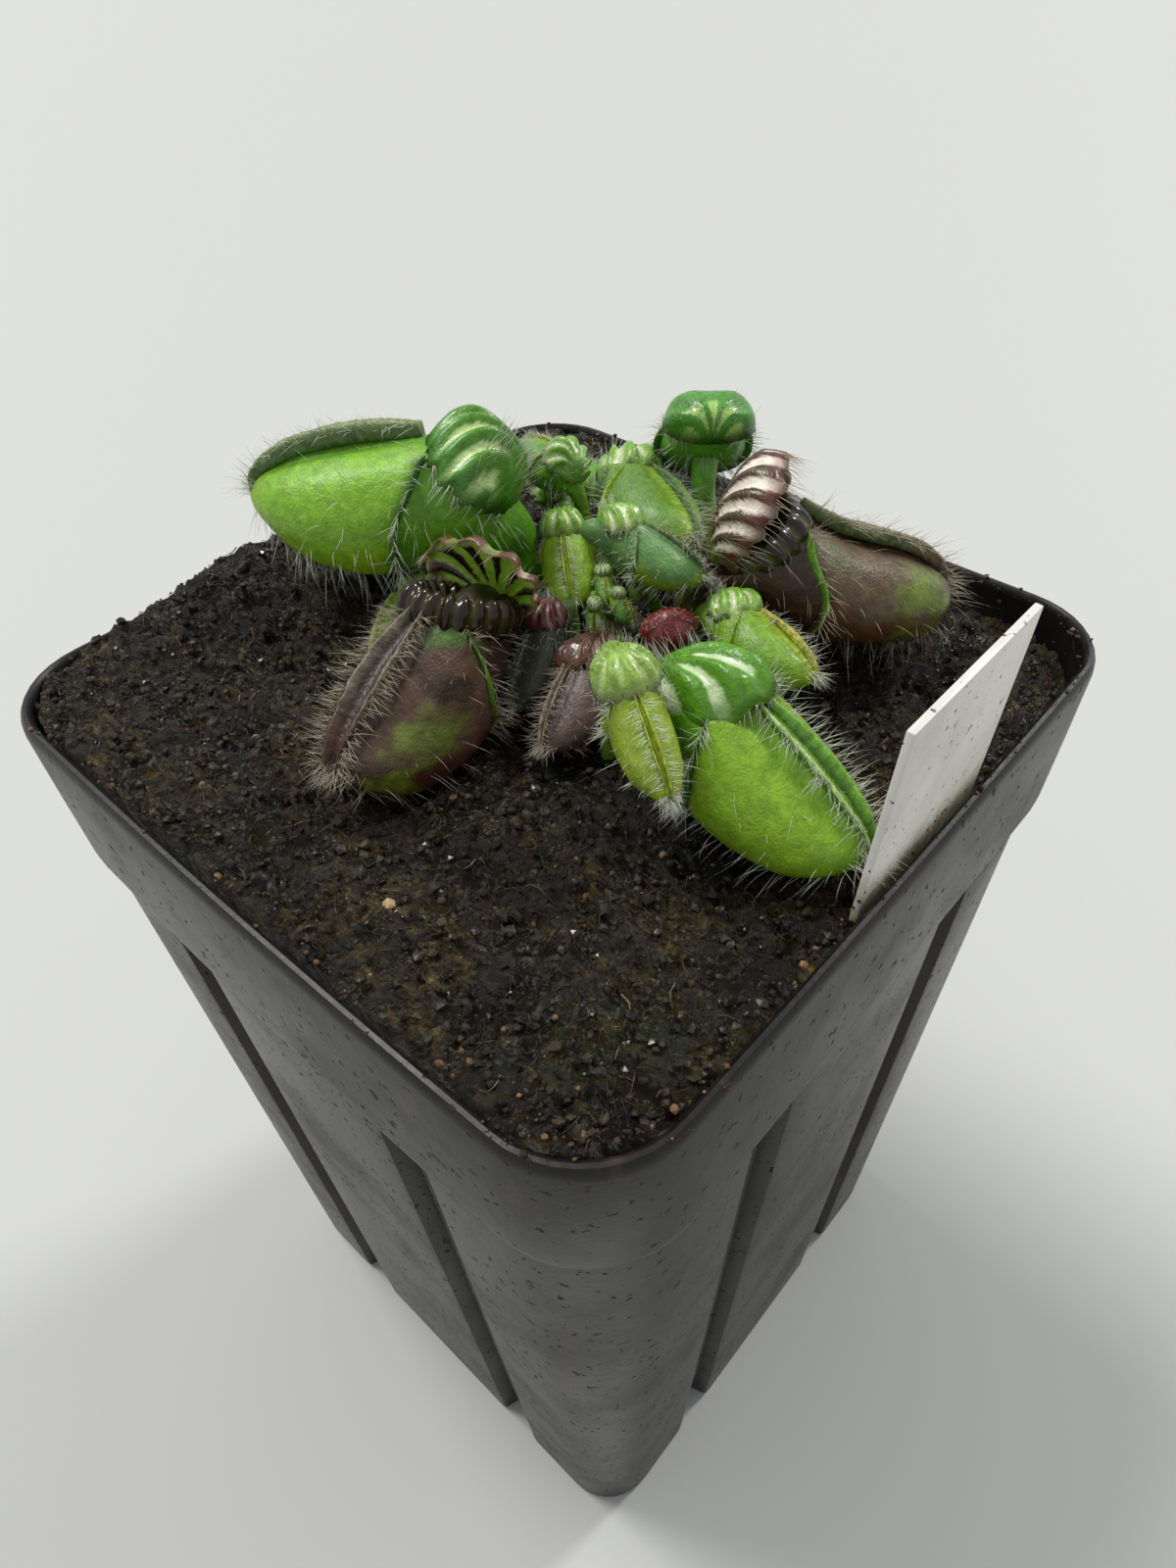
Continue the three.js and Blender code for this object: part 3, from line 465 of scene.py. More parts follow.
put_together("peat_fibres", points, faces, grain, "peat", ["soil"], tints)


# ---------------------------------------------------------------- the label
# A blank plant label cut from thin white plastic, with a pointed foot deep in the
# peat. Its face is flecked with dirt, and algae grows along the peat.

LABEL_X, LABEL_Y, LABEL_HALF, LABEL_TOP, LABEL_THICK = 42.7, 2.4, 10.6, 19.6, 0.8
LABEL_SHOULDER, LABEL_POINT, LABEL_LEAN = -38, 14, 2.8

label_plastic, tree, skin = finish_on("white label plastic", IOR=1.49)
place = place_on(tree)
height = node(tree, "ShaderNodeSeparateXYZ", {"Vector": place}).outputs["Z"]
cloudy = ramp(tree, specks(tree, place, 90, 5, 0.6), (0.35, (0.5, 0.485, 0.43)), (0.7, (0.66, 0.65, 0.6)))
soiled = product(tree, graded(tree, height, 0.1375, 0.1268), specks(tree, place, 500, 5, 0.7))
face = blend_of(tree, ramp(tree, soiled, (0.2, 0), (0.5, 1)), cloudy, (0.26, 0.23, 0.1, 1))
flecks = ramp(tree, specks(tree, place, 1500, 2, 0.4), (0.68, 0), (0.72, 1))
face = blend_of(tree, flecks, face, (0.04, 0.035, 0.03, 1))
blots = ramp(tree, specks(tree, place, 330, 4, 0.5), (0.69, 0), (0.73, 0.7))
face = blend_of(tree, blots, face, (0.18, 0.09, 0.05, 1))
tree.links.new(face, skin.inputs["Base Color"])
tree.links.new(ramp(tree, soiled, (0.1, 0.4), (0.5, 0.8)), skin.inputs["Roughness"])
roughen(tree, skin, (flecks, 0.0002, 0.5))

bpy.ops.object.select_all(action="DESELECT")
bpy.ops.mesh.primitive_cube_add(size=1, location=(0, 0, 0))
label = bpy.context.object
label.name = label.data.name = "blank_label"
for corner in label.data.vertices:
    x, y, z = corner.co
    corner.co = (x * LABEL_THICK * MM, y * 2 * LABEL_HALF * MM, (LABEL_TOP if z > 0 else LABEL_SHOULDER) * MM)
bpy.ops.object.mode_set(mode="EDIT")
bpy.ops.mesh.select_all(action="DESELECT")
bpy.ops.object.mode_set(mode="OBJECT")
for side in label.data.polygons:
    side.select = side.normal.z < -0.9
bpy.ops.object.mode_set(mode="EDIT")
bpy.ops.mesh.extrude_region_move(TRANSFORM_OT_translate={"value": (0, 0, -LABEL_POINT * MM)})
bpy.ops.transform.resize(value=(1, 0.04, 1))
bpy.ops.mesh.select_all(action="SELECT")
bpy.ops.mesh.bevel(offset=0.16 * MM, segments=2, affect="EDGES")
bpy.ops.object.mode_set(mode="OBJECT")
label.data.transform(Matrix.Translation((LABEL_X * MM, LABEL_Y * MM, RIM * MM))
                     @ Matrix.Rotation(math.radians(LABEL_LEAN), 4, "Y"))
label.data.materials.append(label_plastic)
bpy.ops.object.shade_smooth_by_angle(angle=math.radians(30))
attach(label, "root")
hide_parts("label")


# ---------------------------------------------------------------- the pitchers
# Each pitcher is one leaf on its own stalk: a bag with a domed lid hinged at the back
# of its mouth, a double ridge down its front and a keel on each side. Its skin is thin,
# fleshy and glossy, with pale windows between the ribs of the lid. It is green in shade
# and turns purple brown in the sun.

# The common shape. Lengths are shares of the way from mouth to toe, angles are degrees, and
# each leaf below names only what differs in it. In turn: the bag, the lid and its ribs, the
# strip and keels, the rim, the hairs, and the stalk where it meets the bag.
SHAPE = {
    "hinge": (-0.46, -0.43), "back": 1.0, "blunt": 0.7, "bulge": 0.05, "sag": 0.0, "wide": 1.0, "deep": 1.0,
    "open": 0.0, "tilt": 0.0, "lid wide": 1.0, "lid long": 1.0, "lid wall": 0.045, "dome": 0.28, "skirt": 0.0,
    "fan": 15.0, "fan from": 1.12, "phase": 0.0, "glassy": 0.5, "rib": 0.022,
    "window start": (0.3, 0.55), "window end": (0.86, 0.97), "window edge": (0.2, 0.5),
    "ridge": 0.1, "strip high": 0.085, "droop": 1.0, "keel high": 0.045,
    "ribs": 0, "roll": 0.08, "tooth": 0.4, "patches": (), "cloudy": 0.16,
    "hair": 0.21, "strip hair": 2.2, "margin hair": 1.0, "lid hair": 0.8, "bag hair": 1.6, "skin hair": 0.3,
    "flare": 0.24, "bends": None, "depth": 4,
}
# Tones that most leaves share, and the tone that another takes where a leaf doesn't name it. "under", the strip's
# stem beneath its overhanging lips, is painted shade here and in each leaf's tones.
TONES = {"under": (0.03, 0.03, 0.012), "stalk": (0.12, 0.24, 0.03), "foot": (0.12, 0.1, 0.04),
         "inside": (0.03, 0.012, 0.01), "rim": (0.014, 0.005, 0.003), "rim groove": (0.035, 0.03, 0.008),
         "hair": (0.62, 0.66, 0.48), "hair tip": (0.95, 0.95, 0.86)}
LIKE = {"rear": "side", "lip far": "lip", "keel low": "keel", "lid rear": "lid"}
# The back of the bag from the hinge on, its half width from mouth to toe, and the keel's
# path over its side as places along the bag and turns from its front.
BACK_ALONG = [-0.25, 0.05, 0.42, 0.78, 1.02]
BACK_DEPTH = [-0.6, -0.68, -0.66, -0.5, -0.34]
HALF_WIDTH = [0.29, 0.315, 0.345, 0.345, 0.29, 0.24]
KEEL_PATH = [(0.04, 55), (0.2, 75), (0.385, 101), (0.48, 130), (0.53, 165)]


def along(values, share):
    """A place on the smooth curve through evenly spaced values, which may be numbers or points."""
    last = len(values) - 1
    place = min(1.0, max(0.0, share)) * last
    i = min(int(place), last - 1)
    a, b = values[i], values[i + 1]
    before, after = values[max(i - 1, 0)], values[min(i + 2, last)]
    u = place - i
    return (a * 2 + (b - before) * u + (before * 2 - a * 5 + b * 4 - after) * u * u
            + (a * 3 - before - b * 3 + after) * u ** 3) / 2


def keel_at(degrees):
    """How far along the cup the side keel is, at this turn from the front."""
    turn = abs(degrees)
    if turn <= KEEL_PATH[0][1]:
        return KEEL_PATH[0][0] * turn / KEEL_PATH[0][1]
    for (t0, a0), (t1, a1) in zip(KEEL_PATH, KEEL_PATH[1:]):
        if turn <= a1:
            return t0 + (t1 - t0) * (turn - a0) / (a1 - a0)
    return KEEL_PATH[-1][0]


def degrees_of(angle):
    """An angle in degrees, from -180 to 180."""
    return math.degrees((angle + math.pi) % (2 * math.pi) - math.pi)


def cup_point(leaf, t, angle, inset=0.0):
    """A place on the bag: t runs from mouth to toe, the angle round from the front."""
    rounding = max(0.0, t - leaf["blunt"]) / (1 - leaf["blunt"])
    closing = math.sqrt(max(0.0009, 1 - rounding ** 2))
    front_f = (leaf["bulge"] * math.sin(math.pi * min(t, 1)) - leaf["sag"] * math.sin(2 * math.pi * t)
               - 0.1 * (1 - closing))
    back_a = t + (along([leaf["hinge"][0], *BACK_ALONG], t) - t) * closing
    back = along([leaf["hinge"][1], *(leaf["back"] * depth for depth in BACK_DEPTH)], t)
    back_f = front_f + (back - front_f) * closing
    length = math.hypot(t - back_a, front_f - back_f)
    c = math.cos(angle) * max(0.1, 1 - 2 * inset / length)
    half = max(0.01, along(HALF_WIDTH, t) * closing - inset)
    turn = abs(degrees_of(angle))
    beyond = t - keel_at(turn)
    where = ease(turn, 30, 65) * (1 - ease(turn, 140, 172)) * (1 - ease(t, 0.72, 0.98))
    pouch = (0.034 * ease(beyond, -0.015, 0.045) - 0.014 * (1 - ease(beyond, -0.12, -0.01))) * where
    hem = 0.022 * (1 - ease(abs(turn - 22), 0, 14)) * (1 - ease(t, 0.75, 1))
    out = 1 + (0 if inset else (pouch - hem) / 0.33)
    mid_a, mid_f = (t + back_a) / 2, (front_f + back_f) / 2
    return (mid_a + (t - back_a) / 2 * c * out, mid_f + (front_f - back_f) / 2 * c * out,
            half * math.sin(angle) * (1 - 0.12 * math.cos(angle)) * out)


def leaf_place(leaf):
    """The leaf's own directions, as a function from shares of its size to millimetres."""
    mouth, toe = Vector(leaf["mouth"]), Vector(leaf["toe"])
    out = toe - mouth
    size = out.length
    out.normalize()
    front = Vector(leaf["faces"])
    front = (front - out * front.dot(out)).normalized()
    side = out.cross(front)
    mouth.z += RIM

    def place(a, f, s):
        return mouth + out * (a * size) + front * (f * size * leaf["deep"]) + side * (s * size * leaf["wide"])
    return place, size, out, front, side


def keel_place(share):
    """Where the keel is at this share of its path: its place along the bag, and its turn."""
    return along([t for t, turn in KEEL_PATH], share), math.radians(along([turn for t, turn in KEEL_PATH], share))


def mixed(first, second, share):
    """A colour part of the way from the first to the second."""
    share = min(1.0, max(0.0, share))
    return tuple(a + (b - a) * share for a, b in zip(first, second))


def wobble(p, scale, seed=0.0):
    """A smooth random value round 0 at a place, the same in each run."""
    return noise.noise(Vector((p[0] * scale, p[1] * scale, p[2] * scale + seed)))


def cup_tint(leaf, t, degrees, p):
    """Colour of the cup at a place: the named tones of this leaf, worn into each other."""
    tones = leaf["tones"]
    turn = abs(degrees) + 10 * wobble(p, 0.5) + 5 * wobble(p, 1.6)
    t = t + 0.05 * wobble(p, 0.45, 5.0) + 0.02 * wobble(p, 1.4, 8.0)
    colour = mixed(tones["side"], tones["belly"], ease(turn, 95, 140))
    colour = mixed(colour, tones["rear"], 0.9 * (1 - ease(t - keel_at(degrees), -0.03, 0.05)))
    colour = mixed(colour, tones["front"], 0.85 * (1 - ease(turn, 16, 50)))
    colour = mixed(colour, tones["toe"], 0.9 * ease(t, 0.8, 1.0))
    for t0, turn0, long, broad, patch in leaf["patches"]:
        away = math.hypot((t - t0) / long, (degrees - turn0) / broad)
        away += 0.7 * wobble(p, 0.35, 11.0) + 0.5 * wobble(p, 0.9, 17.0) + 0.3 * wobble(p, 2.4, 23.0)
        colour = mixed(colour, patch, 1 - ease(away, 0.3, 1.3))
    shade = 1 + leaf["cloudy"] * wobble(p, 0.8, 21.0) + leaf["cloudy"] * wobble(p, 2.4, 31.0)
    return tuple(c * shade for c in colour)


leaf_skin, tree, skin = finish_on("fleshy leaf skin", IOR=1.4, Subsurface_Weight=0.15, Coat_Roughness=0.12,
                                  Subsurface_Scale=0.0012, Subsurface_Radius=(0.7, 1.0, 0.15))
place = place_on(tree)
satin_share = paint(tree, skin, ramp(tree, specks(tree, place, 900, 6, 0.7), (0.3, (0.72, 0.74, 0.7)),
                                     (0.7, (1.25, 1.22, 1.25))))
gloss = specks(tree, place, 420, 4, 0.6)
satin, glassy = graded(tree, gloss, 0.3, 0.7, 0.3, 0.5), graded(tree, gloss, 0.3, 0.7, 0.08, 0.22)
rough = node(tree, "ShaderNodeMix", {0: satin_share, 2: glassy, 3: satin}).outputs[0]
tree.links.new(rough, skin.inputs["Roughness"])
tree.links.new(graded(tree, satin_share, 1.0, 0.1, 0.06, 0.5), skin.inputs["Coat Weight"])
cells = node(tree, "ShaderNodeTexVoronoi", {"Vector": place, "Scale": 3600.0}).outputs["Distance"]
roughen(tree, skin, (cells, 0.00006, 0.8), (specks(tree, place, 1100, 5, 0.65), 0.00022, 0.6))

rim_skin, tree, skin = finish_on("glossy dark rim", IOR=1.45, Roughness=0.16)
paint(tree, skin, ramp(tree, specks(tree, place_on(tree), 500, 3), (0.3, 0.6), (0.7, 1.4)))

hair_skin, tree, skin = finish_on("translucent hairs", IOR=1.45, Roughness=0.4, Transmission_Weight=0.25)
paint(tree, skin, ramp(tree, specks(tree, place_on(tree), 400, 2), (0.3, 0.8), (0.7, 1.1)))


def join_in(points, faces, tints, more, sides, colours):
    """Adds a closed shell to those of the same piece."""
    start = len(points)
    points += [tuple(p) for p in more]
    faces += [tuple(start + k for k in face) for face in sides]
    tints += colours


def ridge_swell(t):
    """How broad the strip is along its way: most near its middle."""
    return math.sin(math.pi * (0.13 + 0.77 * t)) ** 0.8


def make_ridge(leaf, place, size, steps):
    """The strip down the front: two fleshy lips turned down at the sides, with a valley between; the stem under the
    lips and the valley are coloured darker as painted shade.
    """
    rings, colours = [], []
    tones = leaf["tones"]
    count = max(24, steps)
    for i in range(count + 1):
        t = 0.01 + 0.987 * i / count
        swell = ridge_swell(t)
        half = leaf["ridge"] * swell * (1 + 0.12 * wobble((i * 0.35, 3.0, size), 1.0))
        high = leaf["strip high"] * (0.5 + 0.5 * swell)
        low = 0.4 * high + (-0.008 - 0.4 * high) * leaf["droop"]
        rise = high - low
        a, f, _ = cup_point(leaf, t, 0)
        # The "under" points on the stem beneath the lips take a painted shade.
        side = [(-0.07, 0.5, "under"), (low - 0.006, 0.56, "under"), (low, 0.92, "strip"),
                (low + 0.25 * rise, 1.03, "strip"), (low + 0.6 * rise, 1.05, "strip"),
                (low + 0.86 * rise, 0.99, "lip"), (high, 0.88, "lip"), (high - 0.08 * rise, 0.74, "lip"),
                (high - 0.04 - 0.1 * rise, 0.42, "valley"), (high - 0.05 - 0.12 * rise, 0.14, "valley")]
        section = [(r, -s, kind) for r, s, kind in side] + [(r, s, kind) for r, s, kind in reversed(side)]
        ring = []
        for lift, across, kind in section:
            p = place(a, f + lift + 0.007 * wobble((i * 0.6, across * 3, size), 1.0), half * across)
            ring.append(p)
            tone = tones["lip far" if kind == "lip" and across < 0 else kind]
            if kind != "under":
                tone = mixed(tone, tones.get("strip toe", tone), ease(t, 0.5, 0.92))
            shade = 0.88 + 0.6 * wobble(p, 1.8) + 0.4 * wobble(p, 4.5)
            colours.append(tuple(c * shade for c in tone))
        rings.append(ring)
    more, sides = loft(rings)
    return more, sides, colours


def make_keel(leaf, place, mirror, steps):
    """The low wing that runs over one side of the bag."""
    rings, colours = [], []
    tones = leaf["tones"]
    count = max(18, steps // 2)
    for i in range(count + 1):
        share = i / count
        t, angle = keel_place(share)
        high = leaf["keel high"] * math.sin(math.pi * (0.1 + 0.84 * share)) + 0.008
        ring = []
        for k, (rise, across) in enumerate(((-0.05, -1.1), (0.3 * high, -0.75), (0.8 * high, -0.42), (high, 0),
                                            (0.8 * high, 0.42), (0.3 * high, 0.75), (-0.05, 1.1))):
            a, f, s = cup_point(leaf, t + across * 0.014, mirror * angle)
            mid_a, mid_f, _ = cup_point(leaf, t + across * 0.014, math.pi / 2)
            grow = rise / math.hypot(a - mid_a, f - mid_f, s)
            p = place(a + (a - mid_a) * grow, f + (f - mid_f) * grow, s + s * grow)
            ring.append(p)
            tone = mixed(tones["keel"], tones["keel low"], ease(share, 0.35, 0.75))
            colours.append(mixed(tone, tones["keel edge"], 0.7 if k == 3 else 0.0))
        rings.append(ring)
    more, sides = loft(rings)
    return more, sides, colours


def make_cup(leaf, around, steps):
    """The bag, its front ridge, its side keels and its stalk."""
    place, size = leaf_place(leaf)[:2]
    points, faces, tints = [], [], []
    rings, colours = [], []
    shares = [1 - (1 - i / steps) ** 1.35 for i in range(steps + 1)]
    turns = [2 * math.pi * (j / around) for j in range(around)]
    middle = (leaf["hinge"][0] / 2, leaf["hinge"][1] / 2, 0)
    if not leaf["open"]:
        for share in (0.3, 0.75):
            rings.append([place(*(c * share + m * (1 - share) for c, m in zip(cup_point(leaf, 0.0, a), middle)))
                          for a in turns])
            colours += [leaf["tones"]["side"]] * around
    for t in shares:
        ring = []
        back_a, back_f, _ = cup_point(leaf, t, math.pi)
        front_a, front_f, _ = cup_point(leaf, t, 0)
        centre = place((back_a + front_a) / 2, (back_f + front_f) / 2, 0)
        for a in turns:
            p = place(*cup_point(leaf, t, a))
            away = (p - centre).normalized() if (p - centre).length > 0.2 else Vector((0, 0, 0))
            p = p + away * (0.006 * size * wobble(p, 7 / size) + 0.045 * wobble(p, 1.2) + 0.02 * wobble(p, 3.0))
            ring.append(p)
            colours.append(cup_tint(leaf, t, degrees_of(a), p))
        rings.append(ring)
    if leaf["open"]:
        deep = [s for s in shares if s < 0.93] + [0.93]
        rings = [[place(*cup_point(leaf, t, a, 0.05)) for a in turns] for t in reversed(deep)] + rings
        colours = [leaf["tones"]["inside"]] * (len(deep) * around) + colours
    more, sides = loft(rings)
    join_in(points, faces, tints, more, sides, colours)
    join_in(points, faces, tints, *make_ridge(leaf, place, size, steps))
    for mirror in (-1, 1):
        join_in(points, faces, tints, *make_keel(leaf, place, mirror, steps))
    join_in(points, faces, tints, *make_stalk(leaf, place, size))
    cup = put_together(leaf["name"] + "_cup", points, faces, leaf_skin, leaf["slot"], [leaf["name"]], tints)
    face_out(cup)


def make_stalk(leaf, place, size):
    """The stalk, flaring where it runs into the back of the bag."""
    x, y = leaf["root"]
    marks = [place(leaf["hinge"][0] * 0.4, leaf["hinge"][1], 0)]
    if leaf["bends"]:
        marks += [Vector((bx, by, RIM + bz)) for bx, by, bz in leaf["bends"]]
    else:
        marks.append(place(-0.5, -0.56, 0))
    marks += [Vector((x, y, RIM + 1.5)), Vector((x, y, RIM - leaf["depth"]))]
    count, round_it = 30, 16
    path = [along(marks, n / count) for n in range(count + 1)]
    rings, colours = [], []
    tones = leaf["tones"]
    over = Vector((0, 0, 1))
    for i, p in enumerate(path):
        run = (path[min(i + 1, count)] - path[max(i - 1, 0)]).normalized()
        over = (over - run * over.dot(run)).normalized()
        across = run.cross(over)
        share = i / count
        thick = size * (0.085 + (leaf["flare"] - 0.085) * (1 - ease(share, 0.0, 0.42)))
        thick = thick + (0.9 - thick) * ease(share, 0.4, 1.0)
        ring = []
        for k in range(round_it):
            turn = 2 * math.pi * k / round_it
            q = p + across * (thick * math.cos(turn)) + over * (thick * math.sin(turn))
            ring.append(q)
            tone = mixed(tones["rear"], tones["stalk"], ease(share, 0.12, 0.5))
            tone = mixed(tone, tones["foot"], ease(share, 0.7, 0.95))
            colours.append(tuple(c * (0.9 + 0.5 * wobble(q, 1.1)) for c in tone))
        rings.append(ring)
    more, sides = loft(rings)
    return more, sides, colours


def mouth_plane(leaf):
    """The mouth's own directions: from the hinge to the front lip, and up out of it."""
    hinge_a, hinge_f = leaf["hinge"]
    length = math.hypot(hinge_a, hinge_f)
    return length, (-hinge_a / length, -hinge_f / length), (hinge_f / length, -hinge_a / length)


def lid_share(leaf, share, angle):
    """Which rib a place on the lid is near (1 on a rib, -1 between two), and how far out."""
    x, y = math.cos(angle) * share, math.sin(angle) * share * 1.2
    far = math.hypot(x + 1.12, y) / 2.12
    fan = math.degrees(math.atan2(y, x + leaf["fan from"])) * (1.25 - 0.5 * far)
    fan += 0.1 * leaf["fan"] * wobble((x * 2.2, y * 2.2, leaf["mouth"][0]), 1.0)
    return math.cos(2 * math.pi * (fan / leaf["fan"] + leaf["phase"])), far


def lid_point(leaf, share, angle, sink=0.0):
    """A place on the lid: share runs out from its middle, and the angle round from its front."""
    length, across, up = mouth_plane(leaf)
    wave, far = lid_share(leaf, share, angle)
    rib = leaf["rib"] * wave * min(1, 1.6 * share) * (0.3 + 0.7 * ease(far, 0.2, 0.6))
    dome = leaf["dome"] * max(0.0, 1 - share ** 2.6) ** (1 / 2.2)
    hang = leaf["skirt"] * share ** 4 * math.sin(angle) ** 2 + 0.03 * ease(share, 0.9, 1.0)
    height = dome - hang + rib - sink
    reach = share * (1.06 + rib * 1.2 - sink * 0.6)
    wide = 0.29 * math.sin(angle) * reach * leaf["lid wide"]
    forward = (1 + math.cos(angle) * reach) / 2 * length * leaf["lid long"]
    tilt, turn = math.radians(leaf["tilt"]), math.radians(leaf["open"])
    risen = wide * math.sin(tilt) + height * math.cos(tilt)
    over = forward * math.cos(turn) - risen * math.sin(turn)
    high = forward * math.sin(turn) + risen * math.cos(turn)
    return (leaf["hinge"][0] + over * across[0] + high * up[0], leaf["hinge"][1] + over * across[1] + high * up[1],
            wide * math.cos(tilt) - height * math.sin(tilt))


def lid_tint(leaf, wave, far, share, p, inside):
    """Green ribs with pale clear windows between them; the last value is how satin it is."""
    tones = leaf["tones"]
    wave = wave + 0.3 * wobble(p, 1.3, 4.0)
    colour = mixed(tones["lid"], tones["lid rear"], 1 - ease(far, 0.12, 0.45))
    colour = tuple(c * (1 + 0.35 * wobble(p, 1.5, 9.0)) for c in colour)
    start, full = leaf["window start"]
    narrow = 0.75 * (1 - ease(far, start, full + 0.2))
    low, high = leaf["window edge"]
    glass = ease(-wave, low + narrow, high + narrow) * ease(far, start, full)
    glass *= 1 - ease(far + 0.05 * wobble(p, 1.0), *leaf["window end"])
    if "rib dark" in tones:
        line = ease(wave, low - 0.75, low - 0.4) * (1 - 0.6 * ease(wave, low + 0.75, low + 1.15))
        colour = mixed(colour, tones["rib dark"], line * ease(far, 0.25, 0.45))
    colour = mixed(colour, tones["window"], glass)
    satin = 0.6 - leaf["glassy"] * glass
    if inside and "streak" in tones:
        fork = ease(-wave, 0.65 - 0.6 * ease(far, 0.3, 0.7), 0.9 - 0.6 * ease(far, 0.3, 0.7))
        colour = mixed(tones["inner"], tones["streak"], fork * ease(far, 0.3, 0.42) * (1 - ease(far, 0.84, 0.9)))
        colour = mixed(colour, tones["window"], ease(-wave, -0.1, 0.3) * ease(far, 0.86, 0.9))
        satin = 0.25
    return (*mixed(colour, tones["margin"], ease(share, 0.93, 1.0) * 0.8), satin)


def make_lid(leaf, around, steps):
    """The lid, a thin ribbed dome with an inner face."""
    place = leaf_place(leaf)[0]
    rings, colours = [], []
    for inside in (False, True):
        sink = leaf["lid wall"] if inside else 0.0
        shares = [0.04 + 0.96 * i / steps for i in range(steps + 1)]
        for share in (reversed(shares) if inside else shares):
            ring = []
            for j in range(around):
                angle = 2 * math.pi * j / around
                p = place(*lid_point(leaf, share * (0.97 if inside else 1), angle, sink))
                wave, far = lid_share(leaf, share, angle)
                p = p + Vector((0, 0, 1)) * (0.05 * wobble(p, 2.1) + 0.03 * wobble(p, 4.2)) * ease(wave, -0.4, 0.4)
                ring.append(p)
                colours.append(lid_tint(leaf, wave, far, share, p, inside))
            rings.append(ring)
    points, faces = loft(rings)
    lid = put_together(leaf["name"] + "_lid", points, faces, leaf_skin, leaf["slot"], [leaf["name"]], colours)
    face_out(lid)


def make_rim(leaf):
    """The rim, rolled outwards: a glossy rope of ribs, with a tooth inside under each."""
    place = leaf_place(leaf)[0]
    tones, roll = leaf["tones"], leaf["roll"]
    rib_steps, round_it = 10, 18
    around, rings, colours = leaf["ribs"] * rib_steps, [], []
    up = mouth_plane(leaf)[2]
    mid_a, mid_f = leaf["hinge"][0] / 2, leaf["hinge"][1] / 2
    for j in range(around):
        wave = 0.5 + 0.5 * math.cos(2 * math.pi * j / rib_steps)
        a, f, s = cup_point(leaf, 0, 2 * math.pi * j / around)
        full = roll * (0.76 + 0.26 * wave ** 0.7)
        ring = []
        for k in range(round_it):
            turn = 2 * math.pi * k / round_it
            tooth = leaf["tooth"] * roll * wave ** 3 if math.sin(turn) < -0.3 and math.cos(turn) < 0 else 0
            inward = 1 + (full * 0.75 * math.cos(turn) - 0.12 * roll - tooth * 0.8) / 0.3
            lift = full * math.sin(turn) * 1.2 + 0.05 * roll
            ring.append(place(mid_a + (a - mid_a) * inward + up[0] * lift,
                              mid_f + (f - mid_f) * inward + up[1] * lift, s * inward))
            tone = mixed(tones["rim groove"], tones["rim"], ease(wave, 0.1, 0.5))
            colours.append(mixed(tone, tones.get("rim low", tone), ease(-math.sin(turn), 0.2, 0.9)))
        rings.append(ring)
    points, faces = loft(rings, looped=True)
    rim = put_together(leaf["name"] + "_rim", points, faces, rim_skin, leaf["slot"], [leaf["name"]], colours)
    face_out(rim)


def hair(points, faces, tints, root, heading, long, colour, tip_colour, droop):
    """One tapered hair that leaves the skin near its heading and sags a little."""
    heading = (heading + Vector([random.gauss(0, 0.16) for _ in "xyz"])).normalized()
    sag = Vector((random.gauss(0, 0.12), random.gauss(0, 0.12), -droop)) * long
    path = [root + heading * (long * s) + sag * (s * s) for s in (-0.03, 0.32, 0.66, 1.0)]
    strand(points, faces, tints, path, random.uniform(0.03, 0.044), 0.0, colour, tip_colour)


